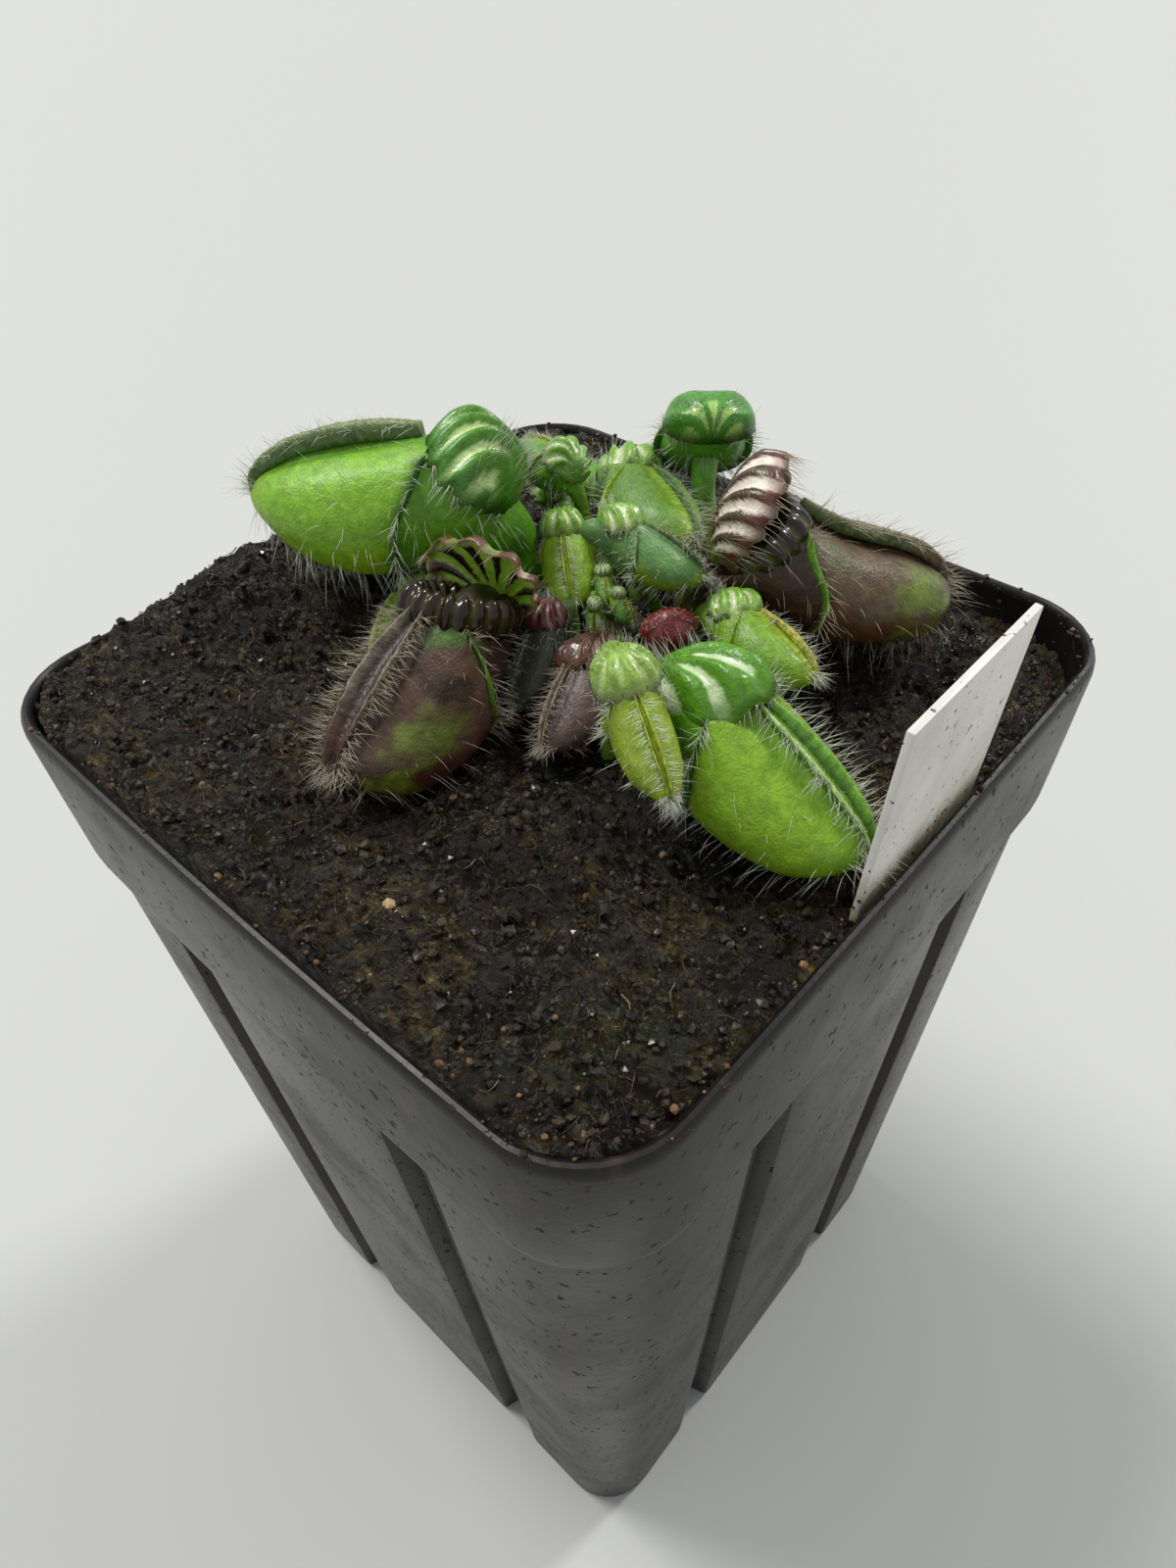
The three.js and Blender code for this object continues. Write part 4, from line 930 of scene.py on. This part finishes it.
def make_hairs(leaf, thick):
    """Stiff pale hairs: along the ridge and the keels, round the lid, and over the bag."""
    place, size, out, front, side = leaf_place(leaf)
    points, faces, tints = [], [], []
    pale, tip = leaf["tones"]["hair"], leaf["tones"]["hair tip"]
    long = leaf["hair"] * size
    count = int(100 * thick)

    def add(root, heading, shortest, longest, droop=0.12):
        """A hair whose length is drawn between two shares of this leaf's longest."""
        hair(points, faces, tints, root, heading, long * random.uniform(shortest, longest), pale, tip, droop)

    def on_bag(t, turn):
        """A root on the bag, and the way out from it."""
        a, f, s = cup_point(leaf, t, turn)
        mid_a, mid_f, _ = cup_point(leaf, t, math.pi / 2)
        return place(a, f, s), (place(a, f, s) - place(mid_a, mid_f, 0)).normalized()

    # Along both lips of the strip.
    for n in range(int(count * leaf["strip hair"])):
        mirror = 1 if n % 2 else -1
        t = 0.03 + 0.96 * random.random() ** 0.8
        swell = ridge_swell(t)
        a, f, _ = cup_point(leaf, t, 0)
        lift = leaf["strip high"] * random.uniform(0.4, 0.9) * (0.5 + 0.5 * swell)
        heading = side * mirror * random.uniform(0.6, 1.2) + front * random.uniform(-0.2, 1.1)
        add(place(a, f + lift, mirror * leaf["ridge"] * swell), heading + out * random.uniform(-0.1, 0.45), 0.35, 1.0)
    # Round the toe.
    for n in range(int(count * 0.9)):
        a, f, s = cup_point(leaf, random.uniform(0.93, 1.0), math.radians(random.gauss(0, 42)))
        heading = out * random.uniform(0.6, 1.2) + front * random.uniform(-0.2, 0.8)
        add(place(a, f, s), heading + side * random.gauss(0, 0.6), 0.5, 1.05)
    # Along both keels.
    for n in range(int(count * 1.7)):
        mirror, share = 1 if n % 2 else -1, random.random()
        t, angle = keel_place(share)
        root, outward = on_bag(t, mirror * angle)
        high = 0.06 * math.sin(math.pi * (0.1 + 0.82 * share))
        heading = outward + out * random.gauss(0, 0.55)
        add(root + outward * (high * size * 0.8), heading + front * random.gauss(0, 0.3), 0.4, 0.95)
    # Round the edge of the lid, and over its back.
    for n in range(int(count * leaf["margin hair"])):
        angle = random.uniform(-2.7, 2.7)
        p = place(*lid_point(leaf, 1.0, angle))
        outward = (p - place(*lid_point(leaf, 0.8, angle))).normalized()
        down = (place(*lid_point(leaf, 0.97, angle, 0.1)) - p).normalized()
        add(p, outward * random.uniform(0.4, 1) + down * random.uniform(0.2, 0.9), 0.35, 0.75)
    for n in range(int(count * leaf["lid hair"])):
        angle, share = random.uniform(math.pi * 0.5, math.pi * 1.5), random.uniform(0.45, 1.0)
        p = place(*lid_point(leaf, share, angle))
        add(p, (p - place(*lid_point(leaf, share, angle, 0.2))).normalized(), 0.4, 0.85)
    # Long under the bag, and a few short ones over the rest of it.
    for n in range(int(count * leaf["bag hair"])):
        root, outward = on_bag(random.uniform(0.05, 0.98), math.radians(180 + random.gauss(0, 50)))
        add(root, outward, 0.5, 1.15, 0.3)
    for n in range(int(count * leaf["skin hair"])):
        root, outward = on_bag(random.uniform(0.02, 0.95), random.uniform(0.4, 5.9))
        add(root, outward + out * 0.5, 0.2, 0.45)
    put_together(leaf["name"] + "_hairs", points, faces, hair_skin, leaf["slot"], [leaf["name"]], tints)


def make_leaf(leaf, around=110, steps=64, lid_around=170, lid_steps=34, hairs=1.0):
    """One whole leaf from what differs in it, with its unnamed tones filled in."""
    leaf = {**SHAPE, **leaf}
    tones = leaf["tones"] = {**TONES, **leaf["tones"]}
    for name, other in LIKE.items():
        tones.setdefault(name, tones[other])
    # The valley between the lips, where a leaf doesn't name it, is the strip's colour darkened: painted shade in the
    # groove.
    tones.setdefault("valley", tuple(0.55 * c for c in tones["strip"]))
    tones.setdefault("keel edge", tuple(1.6 * c for c in tones["keel"]))
    make_cup(leaf, around, steps)
    make_lid(leaf, lid_around, lid_steps)
    if leaf["ribs"]:
        make_rim(leaf)
    make_hairs(leaf, hairs)


# The large green pitcher at the left back is raised on a long stalk over the heaped
# peat, shut, with its near side bright and a yellow tip.
make_leaf({
    "name": "pitcher_back_left", "slot": "green_leaf", "mouth": (-20.5, 1.8, 19.4), "toe": (-36.1, -11.6, 15.3),
    "faces": (-0.365, 0.142, 0.92), "root": (-10, 7.2), "bends": [(-11.8, 5.4, 8.6), (-10.9, 6.3, 5)],
    "hinge": (-0.345, -0.41), "back": 0.88, "wide": 0.99, "deep": 1.09, "tilt": -15,
    "lid wide": 1.09, "lid long": 0.94, "dome": 0.29, "skirt": 0.11, "fan": 4.6, "fan from": 3, "rib": 0.024,
    "window start": (0.36, 0.5), "window edge": (0.3, 0.6), "bag hair": 2.6, "strip hair": 2.0, "lid hair": 1.4,
    "tones": {
        "side": (0.18, 0.39, 0.02), "belly": (0.23, 0.43, 0.008), "front": (0.09, 0.25, 0.014),
        "rear": (0.1, 0.3, 0.012), "toe": (0.2, 0.34, 0.006), "strip": (0.09, 0.15, 0.045),
        "under": (0.05, 0.16, 0.012), "lip": (0.16, 0.22, 0.09), "keel": (0.03, 0.10, 0.012),
        "keel edge": (0.10, 0.2, 0.05),
        "stalk": (0.1, 0.28, 0.012), "lid": (0.07, 0.21, 0.012), "window": (0.48, 0.64, 0.26),
        "margin": (0.05, 0.2, 0.02),
    },
}, hairs=1.05)

# The large purple-brown pitcher at the left front lies open on the peat, with its lid
# raised and its glossy dark rim showing.
make_leaf({
    "name": "pitcher_front_left", "slot": "purple_brown_leaf", "mouth": (-3.1, -15.3, 13.35), "toe": (0.1, -31, 5.75),
    "faces": (0.04, -0.429, 0.902), "root": (-3.4, 3.4), "bends": [(-5.5, -6, 8), (-4.2, -1.5, 5.5)],
    "open": 48.7, "hinge": (-0.38, -0.57), "back": 1.24, "wide": 0.92, "blunt": 0.8,
    "lid wide": 1.36, "lid long": 0.75, "dome": 0.1, "fan": 17, "rib": 0.022, "lid wall": 0.025,
    "margin hair": 0.3,
    "ribs": 22, "roll": 0.1, "strip high": 0.07, "keel high": 0.035, "tooth": 0.1,
    "hair": 0.19, "strip hair": 3.6, "cloudy": 0.34,
    "patches": [(0.1, -48, 0.14, 28, (0.07, 0.14, 0.025)), (0.66, -62, 0.24, 30, (0.13, 0.16, 0.03)),
                (0.86, -100, 0.12, 40, (0.11, 0.14, 0.01)), (0.6, -142, 0.3, 26, (0.11, 0.02, 0.01)),
                (0.4, -60, 0.1, 22, (0.04, 0.022, 0.016)), (0.75, -110, 0.1, 20, (0.06, 0.015, 0.01))],
    "tones": {
        "side": (0.1, 0.052, 0.035), "belly": (0.065, 0.026, 0.014), "front": (0.036, 0.018, 0.01),
        "rear": (0.035, 0.018, 0.013), "toe": (0.03, 0.008, 0.004), "strip": (0.09, 0.08, 0.05),
        "lip": (0.13, 0.12, 0.08), "valley": (0.035, 0.02, 0.014), "strip toe": (0.07, 0.028, 0.02),
        "under": (0.02, 0.01, 0.006),
        "keel": (0.10, 0.24, 0.02), "keel low": (0.09, 0.045, 0.025), "stalk": (0.07, 0.12, 0.02),
        "lid": (0.17, 0.28, 0.05), "lid rear": (0.1, 0.2, 0.03), "window": (0.50, 0.42, 0.32),
        # The lid's inner face ("inner") is lighter than the lid's own green: painted light, standing in for the light
        # that shines through the thin lid onto it.
        "rib dark": (0.09, 0.03, 0.02), "inner": (0.36, 0.56, 0.05), "streak": (0.02, 0.008, 0.008),
        "margin": (0.16, 0.07, 0.04), "hair": (0.36, 0.29, 0.19), "hair tip": (0.74, 0.66, 0.5),
    },
})

# Its fellow at the right back turns its flank to us: white windows show between the
# dark red ribs of its lid, over the broad crescent of the rim.
make_leaf({
    "name": "pitcher_back_right", "slot": "purple_brown_leaf", "mouth": (14.6, 20.75, 15), "toe": (27.1, 33.95, 4.5),
    "faces": (0.022, 0.608, 0.793), "root": (6.8, 13.2), "bends": [(9.2, 13.2, 8), (7.4, 13.4, 4.6)],
    "open": 20.5, "hinge": (-0.206, -0.5), "back": 0.96, "wide": 1.05, "deep": 0.85, "tilt": 32,
    "sag": 0.038, "bulge": 0.02, "blunt": 0.86, "lid wide": 1.12, "lid long": 1.32, "dome": 0.145, "skirt": 0.11,
    "ribs": 18, "rib": 0.013, "fan": 11, "ridge": 0.11, "strip high": 0.09, "droop": 0.9,
    "tooth": 0.0, "flare": 0.14, "cloudy": 0.34, "glassy": -0.4,
    "window edge": (-0.05, 0.2), "window start": (0.3, 0.42), "window end": (1.2, 1.3),
    "patches": [(0.74, 70, 0.15, 34, (0.12, 0.17, 0.015)), (0.62, 128, 0.28, 24, (0.09, 0.035, 0.014)),
                (0.85, 126, 0.14, 20, (0.11, 0.14, 0.008)), (0.82, -70, 0.2, 36, (0.13, 0.18, 0.015)),
                (0.97, 60, 0.08, 60, (0.045, 0.012, 0.008)), (0.3, 60, 0.12, 26, (0.09, 0.08, 0.035))],
    "tones": {
        "side": (0.095, 0.06, 0.03), "belly": (0.07, 0.045, 0.018), "front": (0.045, 0.03, 0.014),
        "rear": (0.045, 0.02, 0.016), "toe": (0.05, 0.016, 0.01), "strip": (0.085, 0.125, 0.028),
        "lip": (0.14, 0.13, 0.07), "strip toe": (0.12, 0.075, 0.045), "under": (0.018, 0.008, 0.006),
        "keel": (0.12, 0.30, 0.02), "keel low": (0.10, 0.07, 0.03), "stalk": (0.10, 0.10, 0.03),
        "lid": (0.10, 0.15, 0.03), "lid rear": (0.14, 0.20, 0.03), "window": (0.74, 0.66, 0.56),
        "rib dark": (0.05, 0.008, 0.008), "inner": (0.20, 0.34, 0.04), "streak": (0.018, 0.007, 0.008),
        "margin": (0.1, 0.02, 0.015), "rim groove": (0.04, 0.05, 0.01), "rim low": (0.02, 0.03, 0.006),
        "hair": (0.40, 0.33, 0.22), "hair tip": (0.78, 0.7, 0.54),
    },
})

# The largest pitcher is at the front right, shut, bright glossy green.
make_leaf({
    "name": "pitcher_front_right", "slot": "green_leaf", "mouth": (26.8, -3.6, 11.6), "toe": (42, -4.3, 2.2),
    "faces": (0.525, 0.056, 0.849), "root": (8.2, 6.4), "bends": [(16.6, -3, 5.6), (12.4, -2.4, 2.4)],
    "hinge": (-0.34, -0.515), "back": 0.955, "wide": 0.95, "deep": 1.05, "tilt": -5, "blunt": 0.8,
    "lid wide": 0.9, "lid long": 1.15, "dome": 0.22, "skirt": 0.07, "fan": 20, "phase": 0.5,
    "rib": 0.024, "window edge": (0.4, 0.65),
    "ridge": 0.075, "strip high": 0.05, "droop": 0.7, "bag hair": 2.0, "window start": (0.28, 0.5),
    "tones": {
        "side": (0.2, 0.37, 0.018), "belly": (0.23, 0.4, 0.005), "front": (0.14, 0.3, 0.02),
        "rear": (0.08, 0.25, 0.01), "toe": (0.13, 0.28, 0.006), "strip": (0.1, 0.27, 0.012),
        "under": (0.04, 0.12, 0.01), "lip": (0.36, 0.48, 0.2), "lip far": (0.14, 0.32, 0.03),
        "valley": (0.04, 0.13, 0.008),
        "keel": (0.03, 0.10, 0.01), "keel edge": (0.16, 0.3, 0.06), "stalk": (0.08, 0.22, 0.015),
        "lid": (0.08, 0.23, 0.01), "window": (0.5, 0.64, 0.36), "margin": (0.1, 0.28, 0.02),
    },
}, hairs=1.05)

# The pitcher at the back is seen from behind, a round dark green lid on a pale stalk.
make_leaf({
    "name": "pitcher_back", "slot": "green_leaf", "mouth": (-3.2, 28.9, 17.6), "toe": (-11.6, 37.9, 10),
    "faces": (-0.35, 0.4, 0.8), "root": (4.4, 16.2), "bends": [(1.2, 23.2, 11.6), (4, 21, 5.4)],
    "deep": 0.7, "flare": 0.11, "lid wide": 1.2, "dome": 0.34, "rib": 0.016, "fan": 38, "phase": 0.5,
    "window edge": (-0.25, 0.05), "window start": (0.06, 0.12), "window end": (0.36, 0.46),
    "tones": {
        "side": (0.07, 0.25, 0.012), "belly": (0.08, 0.26, 0.012), "front": (0.03, 0.12, 0.01),
        "rear": (0.08, 0.28, 0.012), "toe": (0.08, 0.22, 0.01), "strip": (0.08, 0.18, 0.03),
        "lip": (0.12, 0.25, 0.05), "keel": (0.03, 0.1, 0.01), "stalk": (0.12, 0.25, 0.02),
        "lid": (0.05, 0.22, 0.01), "window": (0.32, 0.52, 0.12), "margin": (0.03, 0.12, 0.01),
    },
}, hairs=0.9)

# The small pitchers of the rosette stand round the crown: yellow green and translucent
# when young, purple or dark red where the sun reaches them.
# Here too "under" and "valley" are painted shade, beneath the lips and in the groove between them.
YOUNG = {
    "side": (0.24, 0.40, 0.02), "belly": (0.22, 0.38, 0.01), "front": (0.2, 0.34, 0.015),
    "rear": (0.18, 0.34, 0.02), "toe": (0.28, 0.38, 0.01), "strip": (0.26, 0.30, 0.015),
    "under": (0.16, 0.26, 0.015), "lip": (0.38, 0.44, 0.05), "valley": (0.2, 0.27, 0.012),
    "keel": (0.28, 0.42, 0.03), "stalk": (0.14, 0.28, 0.03), "lid": (0.16, 0.33, 0.03), "window": (0.5, 0.6, 0.3),
    "margin": (0.4, 0.5, 0.22),
}


def make_young(name, slot, mouth, toe, faces, root, tones=None, hairs=0.5, **more):
    """A small pitcher, hairier for its size, from its place and what differs in it."""
    leaf = {"name": name, "slot": slot, "mouth": mouth, "toe": toe, "faces": faces, "root": root,
            "rib": 0.035, "hair": 0.24, "bag hair": 1.2, "skin hair": 0.8, "ridge": 0.06, "skirt": 0.1,
            "strip high": 0.055, "dome": 0.25, "fan": 18, "tones": {**YOUNG, **(tones or {})}}
    leaf.update({key.replace("_", " "): value for key, value in more.items()})
    make_leaf(leaf, around=64, steps=38, lid_around=110, lid_steps=20, hairs=hairs)


make_young("small_pitcher_front", "yellow_green_leaf", (21.5, -12.8, 14.4), (27.9, -15.7, 8.2),
           (0.529, -0.405, 0.746), (13.4, -7.4), wide=0.76, lid_wide=1.42, dome=0.24, skirt=0.09,
           ribs=20, roll=0.05, hairs=0.6, tones={
               "rim": (0.14, 0.10, 0.05), "rim groove": (0.2, 0.22, 0.06), "side": (0.24, 0.33, 0.03),
               "lid": (0.20, 0.33, 0.05), "window": (0.36, 0.48, 0.16), "margin": (0.5, 0.55, 0.3)})
make_young("small_pitcher_purple", "purple_brown_leaf", (6.85, -5.35, 6.4), (9.6, -13.4, 1.9),
           (-0.346, -0.546, 0.763), (3.4, 2.6), deep=0.92, lid_wide=1.12, lid_long=1.15, skirt=0.09,
           dome=0.17, rib=0.05, hairs=0.6, cloudy=0.3, tones={
               "side": (0.085, 0.05, 0.04), "belly": (0.06, 0.035, 0.025), "front": (0.055, 0.032, 0.025),
               "rear": (0.06, 0.035, 0.03), "toe": (0.07, 0.04, 0.02), "strip": (0.12, 0.075, 0.055),
               "valley": (0.07, 0.04, 0.03),
               "under": (0.04, 0.02, 0.015), "lip": (0.2, 0.15, 0.11), "keel": (0.12, 0.10, 0.06),
               "lid": (0.07, 0.025, 0.015), "window": (0.17, 0.11, 0.07), "margin": (0.26, 0.15, 0.1),
               "hair": (0.4, 0.33, 0.24), "hair tip": (0.7, 0.62, 0.5)})
make_young("small_pitcher_dark", "dark_green_leaf", (-0.4, -4.05, 5.7), (1.25, -9.4, 0.15),
           (-0.437, -0.71, 0.553), (0.2, 2.2), deep=0.86, lid_wide=1.06, lid_long=0.9, dome=0.27,
           hairs=0.55, cloudy=0.25, tones={
               "side": (0.055, 0.06, 0.036), "belly": (0.05, 0.06, 0.03), "front": (0.05, 0.055, 0.035),
               "rear": (0.05, 0.06, 0.035), "toe": (0.05, 0.07, 0.02), "strip": (0.09, 0.11, 0.06),
               "under": (0.03, 0.03, 0.02), "valley": (0.05, 0.06, 0.04), "lip": (0.14, 0.19, 0.1),
               "keel": (0.07, 0.12, 0.04),
               "lid": (0.10, 0.018, 0.018), "window": (0.2, 0.12, 0.11), "margin": (0.14, 0.05, 0.04)})
make_young("small_pitcher_red", "red_leaf", (14.2, 1.8, 6.9), (14.9, 2.7, 0.05),
           (0.745, -0.667, -0.013), (8, 9.2), lid_wide=1.42, lid_long=0.9, dome=0.26, skirt=0.08,
           bends=[(11.6, 4.4, 7.4)], hairs=0.55, rib=0.014, fan=40, tones={
               "side": (0.12, 0.055, 0.055), "belly": (0.09, 0.05, 0.04), "front": (0.12, 0.05, 0.055),
               "rear": (0.1, 0.05, 0.05), "toe": (0.1, 0.05, 0.04), "strip": (0.15, 0.07, 0.06),
               "under": (0.05, 0.02, 0.02), "lip": (0.2, 0.1, 0.09), "keel": (0.12, 0.07, 0.05),
               "valley": (0.08, 0.03, 0.03), "stalk": (0.12, 0.08, 0.03), "lid": (0.13, 0.01, 0.012),
               "window": (0.2, 0.03, 0.035), "margin": (0.2, 0.05, 0.04)})
make_young("small_pitcher_glaucous", "green_leaf", (5.75, 7.6, 15.45), (12.95, 8.95, 11.85),
           (0.219, 0.688, 0.692), (2.2, 13.4), deep=0.9, lid_wide=1.1, lid_long=0.94, dome=0.29,
           hairs=0.6, tones={
               "side": (0.10, 0.22, 0.06), "belly": (0.16, 0.25, 0.006), "front": (0.06, 0.13, 0.04),
               "rear": (0.08, 0.2, 0.05), "toe": (0.18, 0.26, 0.008), "strip": (0.09, 0.12, 0.06),
               "under": (0.05, 0.08, 0.03), "lip": (0.12, 0.2, 0.06), "keel": (0.1, 0.2, 0.05)})
make_young("small_pitcher_rear_centre", "green_leaf", (-5.1, 22.05, 12.3), (6.65, 15.85, 11.1),
           (0.322, 0.453, 0.831), (-1.8, 14.8), lid_wide=0.94, lid_long=0.94, tones={
               "side": (0.12, 0.25, 0.04), "belly": (0.14, 0.28, 0.03), "rear": (0.12, 0.28, 0.03),
               "strip": (0.05, 0.14, 0.02), "lip": (0.08, 0.2, 0.03)})
make_young("small_pitcher_centre", "yellow_green_leaf", (-6.9, 8.3, 9.25), (-1.4, 3.7, 5.1),
           (0.285, -0.432, 0.856), (-3, 7.8), wide=0.96, lid_wide=1.1, hair=0.16, tones={
               "strip": (0.12, 0.2, 0.01), "lip": (0.32, 0.42, 0.05)})
make_young("small_pitcher_right", "yellow_green_leaf", (19.15, 9.1, 10.2), (27.9, 6.85, 8.1),
           (0.32, 0.504, 0.802), (8.7, 11.3), bends=[(13.4, 8.2, 7.6), (10.6, 9.8, 4.2)], deep=0.93,
           dome=0.24, skirt=0.12, hairs=0.6, tones={
               "side": (0.13, 0.27, 0.012), "front": (0.2, 0.29, 0.01), "strip": (0.32, 0.31, 0.01),
               "lip": (0.4, 0.36, 0.02)})
make_young("small_pitcher_left", "yellow_green_leaf", (-19.15, -6.9, 4.2), (-16.7, -13.65, -0.5),
           (-0.6, -0.592, 0.538), (-6.6, 4.2), lid_long=0.85, dome=0.13, skirt=0.03, hairs=0.6,
           tones={"side": (0.15, 0.32, 0.04), "strip": (0.42, 0.52, 0.08), "lip": (0.5, 0.6, 0.12)})
make_young("bud_pitcher_back", "yellow_green_leaf", (-19.4, 20.3, 7.3), (-19.7, 27.2, 6.6),
           (-0.633, 0.05, 0.773), (-5.6, 15), bends=[(-14.5, 17.6, 4.6), (-9.6, 17, 3.4)],
           lid_wide=1.28, lid_long=1.07, dome=0.29, skirt=0.05, rib=0.05, tones={
               "side": (0.09, 0.26, 0.008), "rear": (0.09, 0.26, 0.008), "lid": (0.09, 0.26, 0.01),
               "window": (0.45, 0.6, 0.2), "stalk": (0.16, 0.3, 0.02)},
           window_start=(0.45, 0.65), window_end=(1.1, 1.2))
make_young("bud_pitcher_back_left", "yellow_green_leaf", (-13.7, 16.1, 14.35), (-20.85, 17.6, 12.95),
           (-0.034, 0.59, 0.806), (-3.2, 12.4), bends=[(-10.6, 14.6, 11), (-7.6, 14.2, 6)],
           lid_wide=1.29, lid_long=1.15, dome=0.3, skirt=0.09, rib=0.05, tones={
               "side": (0.08, 0.24, 0.01), "rear": (0.08, 0.24, 0.01), "lid": (0.12, 0.28, 0.02),
               "window": (0.5, 0.6, 0.34), "stalk": (0.16, 0.28, 0.02)},
           window_start=(0.3, 0.5), window_end=(1.1, 1.2))


# ---------------------------------------------------------------- the crown
# The rootstock just shows at the middle of the rosette: a rough brown stub with the
# smallest pitchers, pale and nearly clear, still folded on it.

crown_skin, tree, skin = finish_on("rough rootstock", IOR=1.4, Roughness=0.7)
place = place_on(tree)
bark = ramp(tree, specks(tree, place, 900, 5, 0.7), (0.3, (0.05, 0.035, 0.02)), (0.6, (0.14, 0.13, 0.05)),
            (0.8, (0.2, 0.26, 0.08)))
tree.links.new(bark, skin.inputs["Base Color"])
roughen(tree, skin, (specks(tree, place, 1200, 4), 0.0004, 1.0))

STUB_FOOT, STUB_LONG, STUB_STEPS, STUB_ROUND = -4, 6.2, 14, 32

rings = []
for i in range(STUB_STEPS + 1):
    share = i / STUB_STEPS
    z = STUB_FOOT + STUB_LONG * share
    radius = (2.4 + 0.6 * math.sin(math.pi * share)) * math.sqrt(max(0.02, 1 - max(0, share - 0.6) ** 2 / 0.16))
    ring = []
    for k in range(STUB_ROUND):
        turn = 2 * math.pi * k / STUB_ROUND
        knobbly = radius + 0.35 * noise.noise(Vector((k * 0.9, z, 2)))
        ring.append((CROWN_X + knobbly * math.cos(turn), CROWN_Y + knobbly * math.sin(turn), RIM + z))
    rings.append(ring)
points, faces = loft(rings)
face_out(put_together("crown_rootstock", points, faces, crown_skin, "crown_tissue", ["crown"]))

for mouth, toe, faces_to in (((-0.6, 8.2, 6.4), (1.4, 6.6, 4.4), (0.5, -0.3, 0.8)),
                             ((3.2, 7, 5.8), (5, 6.6, 3.6), (0.6, 0.2, 0.7)),
                             ((1.6, 3.9, 5), (2.2, 3.4, 2.2), (0.4, -0.6, 0.6))):
    root = (CROWN_X + 0.2 * (mouth[0] - CROWN_X), CROWN_Y + 0.2 * (mouth[1] - CROWN_Y))
    bud = {"name": "crown", "slot": "crown_tissue", "mouth": mouth, "toe": toe, "faces": faces_to, "root": root,
           "depth": 1, "rib": 0.05, "hair": 0.3, "bag hair": 0.6, "skin hair": 0.6,
           "tones": {**YOUNG, "side": (0.13, 0.27, 0.05), "lid": (0.2, 0.32, 0.1), "window": (0.5, 0.56, 0.36)}}
    make_leaf(bud, around=32, steps=18, lid_around=48, lid_steps=10, hairs=0.22)


# ---------------------------------------------------------------- floor, light, camera
# A plain pale floor in a bright even room, with one broad soft window at the left and a
# smaller one behind. The camera stands where the photograph was taken from.

bpy.ops.object.select_all(action="DESELECT")
bpy.ops.mesh.primitive_plane_add(size=12, location=(0, 0, 0))
floor = bpy.context.object
floor.name = floor.data.name = "pale_floor"
floor_finish, tree, skin = finish_on("pale matt floor", Roughness=0.75)
skin.inputs["Base Color"].default_value = (0.44, 0.445, 0.425, 1)
floor.data.materials.append(floor_finish)

world = bpy.data.worlds.new("pale room")
bpy.context.scene.world = world
world.use_nodes = True
world.node_tree.nodes["Background"].inputs["Color"].default_value = (0.95, 0.97, 1.0, 1)
world.node_tree.nodes["Background"].inputs["Strength"].default_value = 0.6


def window_light(name, toward, strength, softness, colour):
    """A soft light from far away on this side; the softness is its width in degrees."""
    light = bpy.data.lights.new(name, "SUN")
    light.energy, light.angle, light.color = strength, math.radians(softness), colour
    holder = bpy.data.objects.new(name, light)
    holder.rotation_euler = Vector(toward).to_track_quat("Z", "Y").to_euler()
    holder.location = Vector(toward)
    bpy.context.scene.collection.objects.link(holder)


window_light("left window", (-0.5, -0.1, 0.85), 2.6, 22, (1.0, 0.99, 0.96))
window_light("back window", (0.15, 0.75, 0.7), 1.5, 9, (1.0, 1.0, 0.98))

CAMERA_AT = (0.06551, -0.06531, 0.20053)
yaw, pitch, roll = math.radians(43.621), math.radians(44.135), math.radians(-2.433)
forward = Vector((-math.sin(yaw) * math.cos(pitch), math.cos(yaw) * math.cos(pitch), -math.sin(pitch)))
right = Vector((math.cos(yaw), math.sin(yaw), 0))
up = right.cross(forward)
tilted = right * math.cos(roll) + up * math.sin(roll)
upright = up * math.cos(roll) - right * math.sin(roll)
lens = bpy.data.cameras.new("camera")
lens.sensor_fit, lens.sensor_width, lens.lens = "AUTO", 36.0, 24.014
lens.clip_start, lens.clip_end = 0.005, 50
camera = bpy.data.objects.new("camera", lens)
turn = Matrix((tilted, upright, -forward)).transposed().to_4x4()
camera.matrix_world = Matrix.Translation(CAMERA_AT) @ turn
bpy.context.scene.collection.objects.link(camera)
bpy.context.scene.camera = camera
bpy.context.scene.view_settings.view_transform = "Standard"
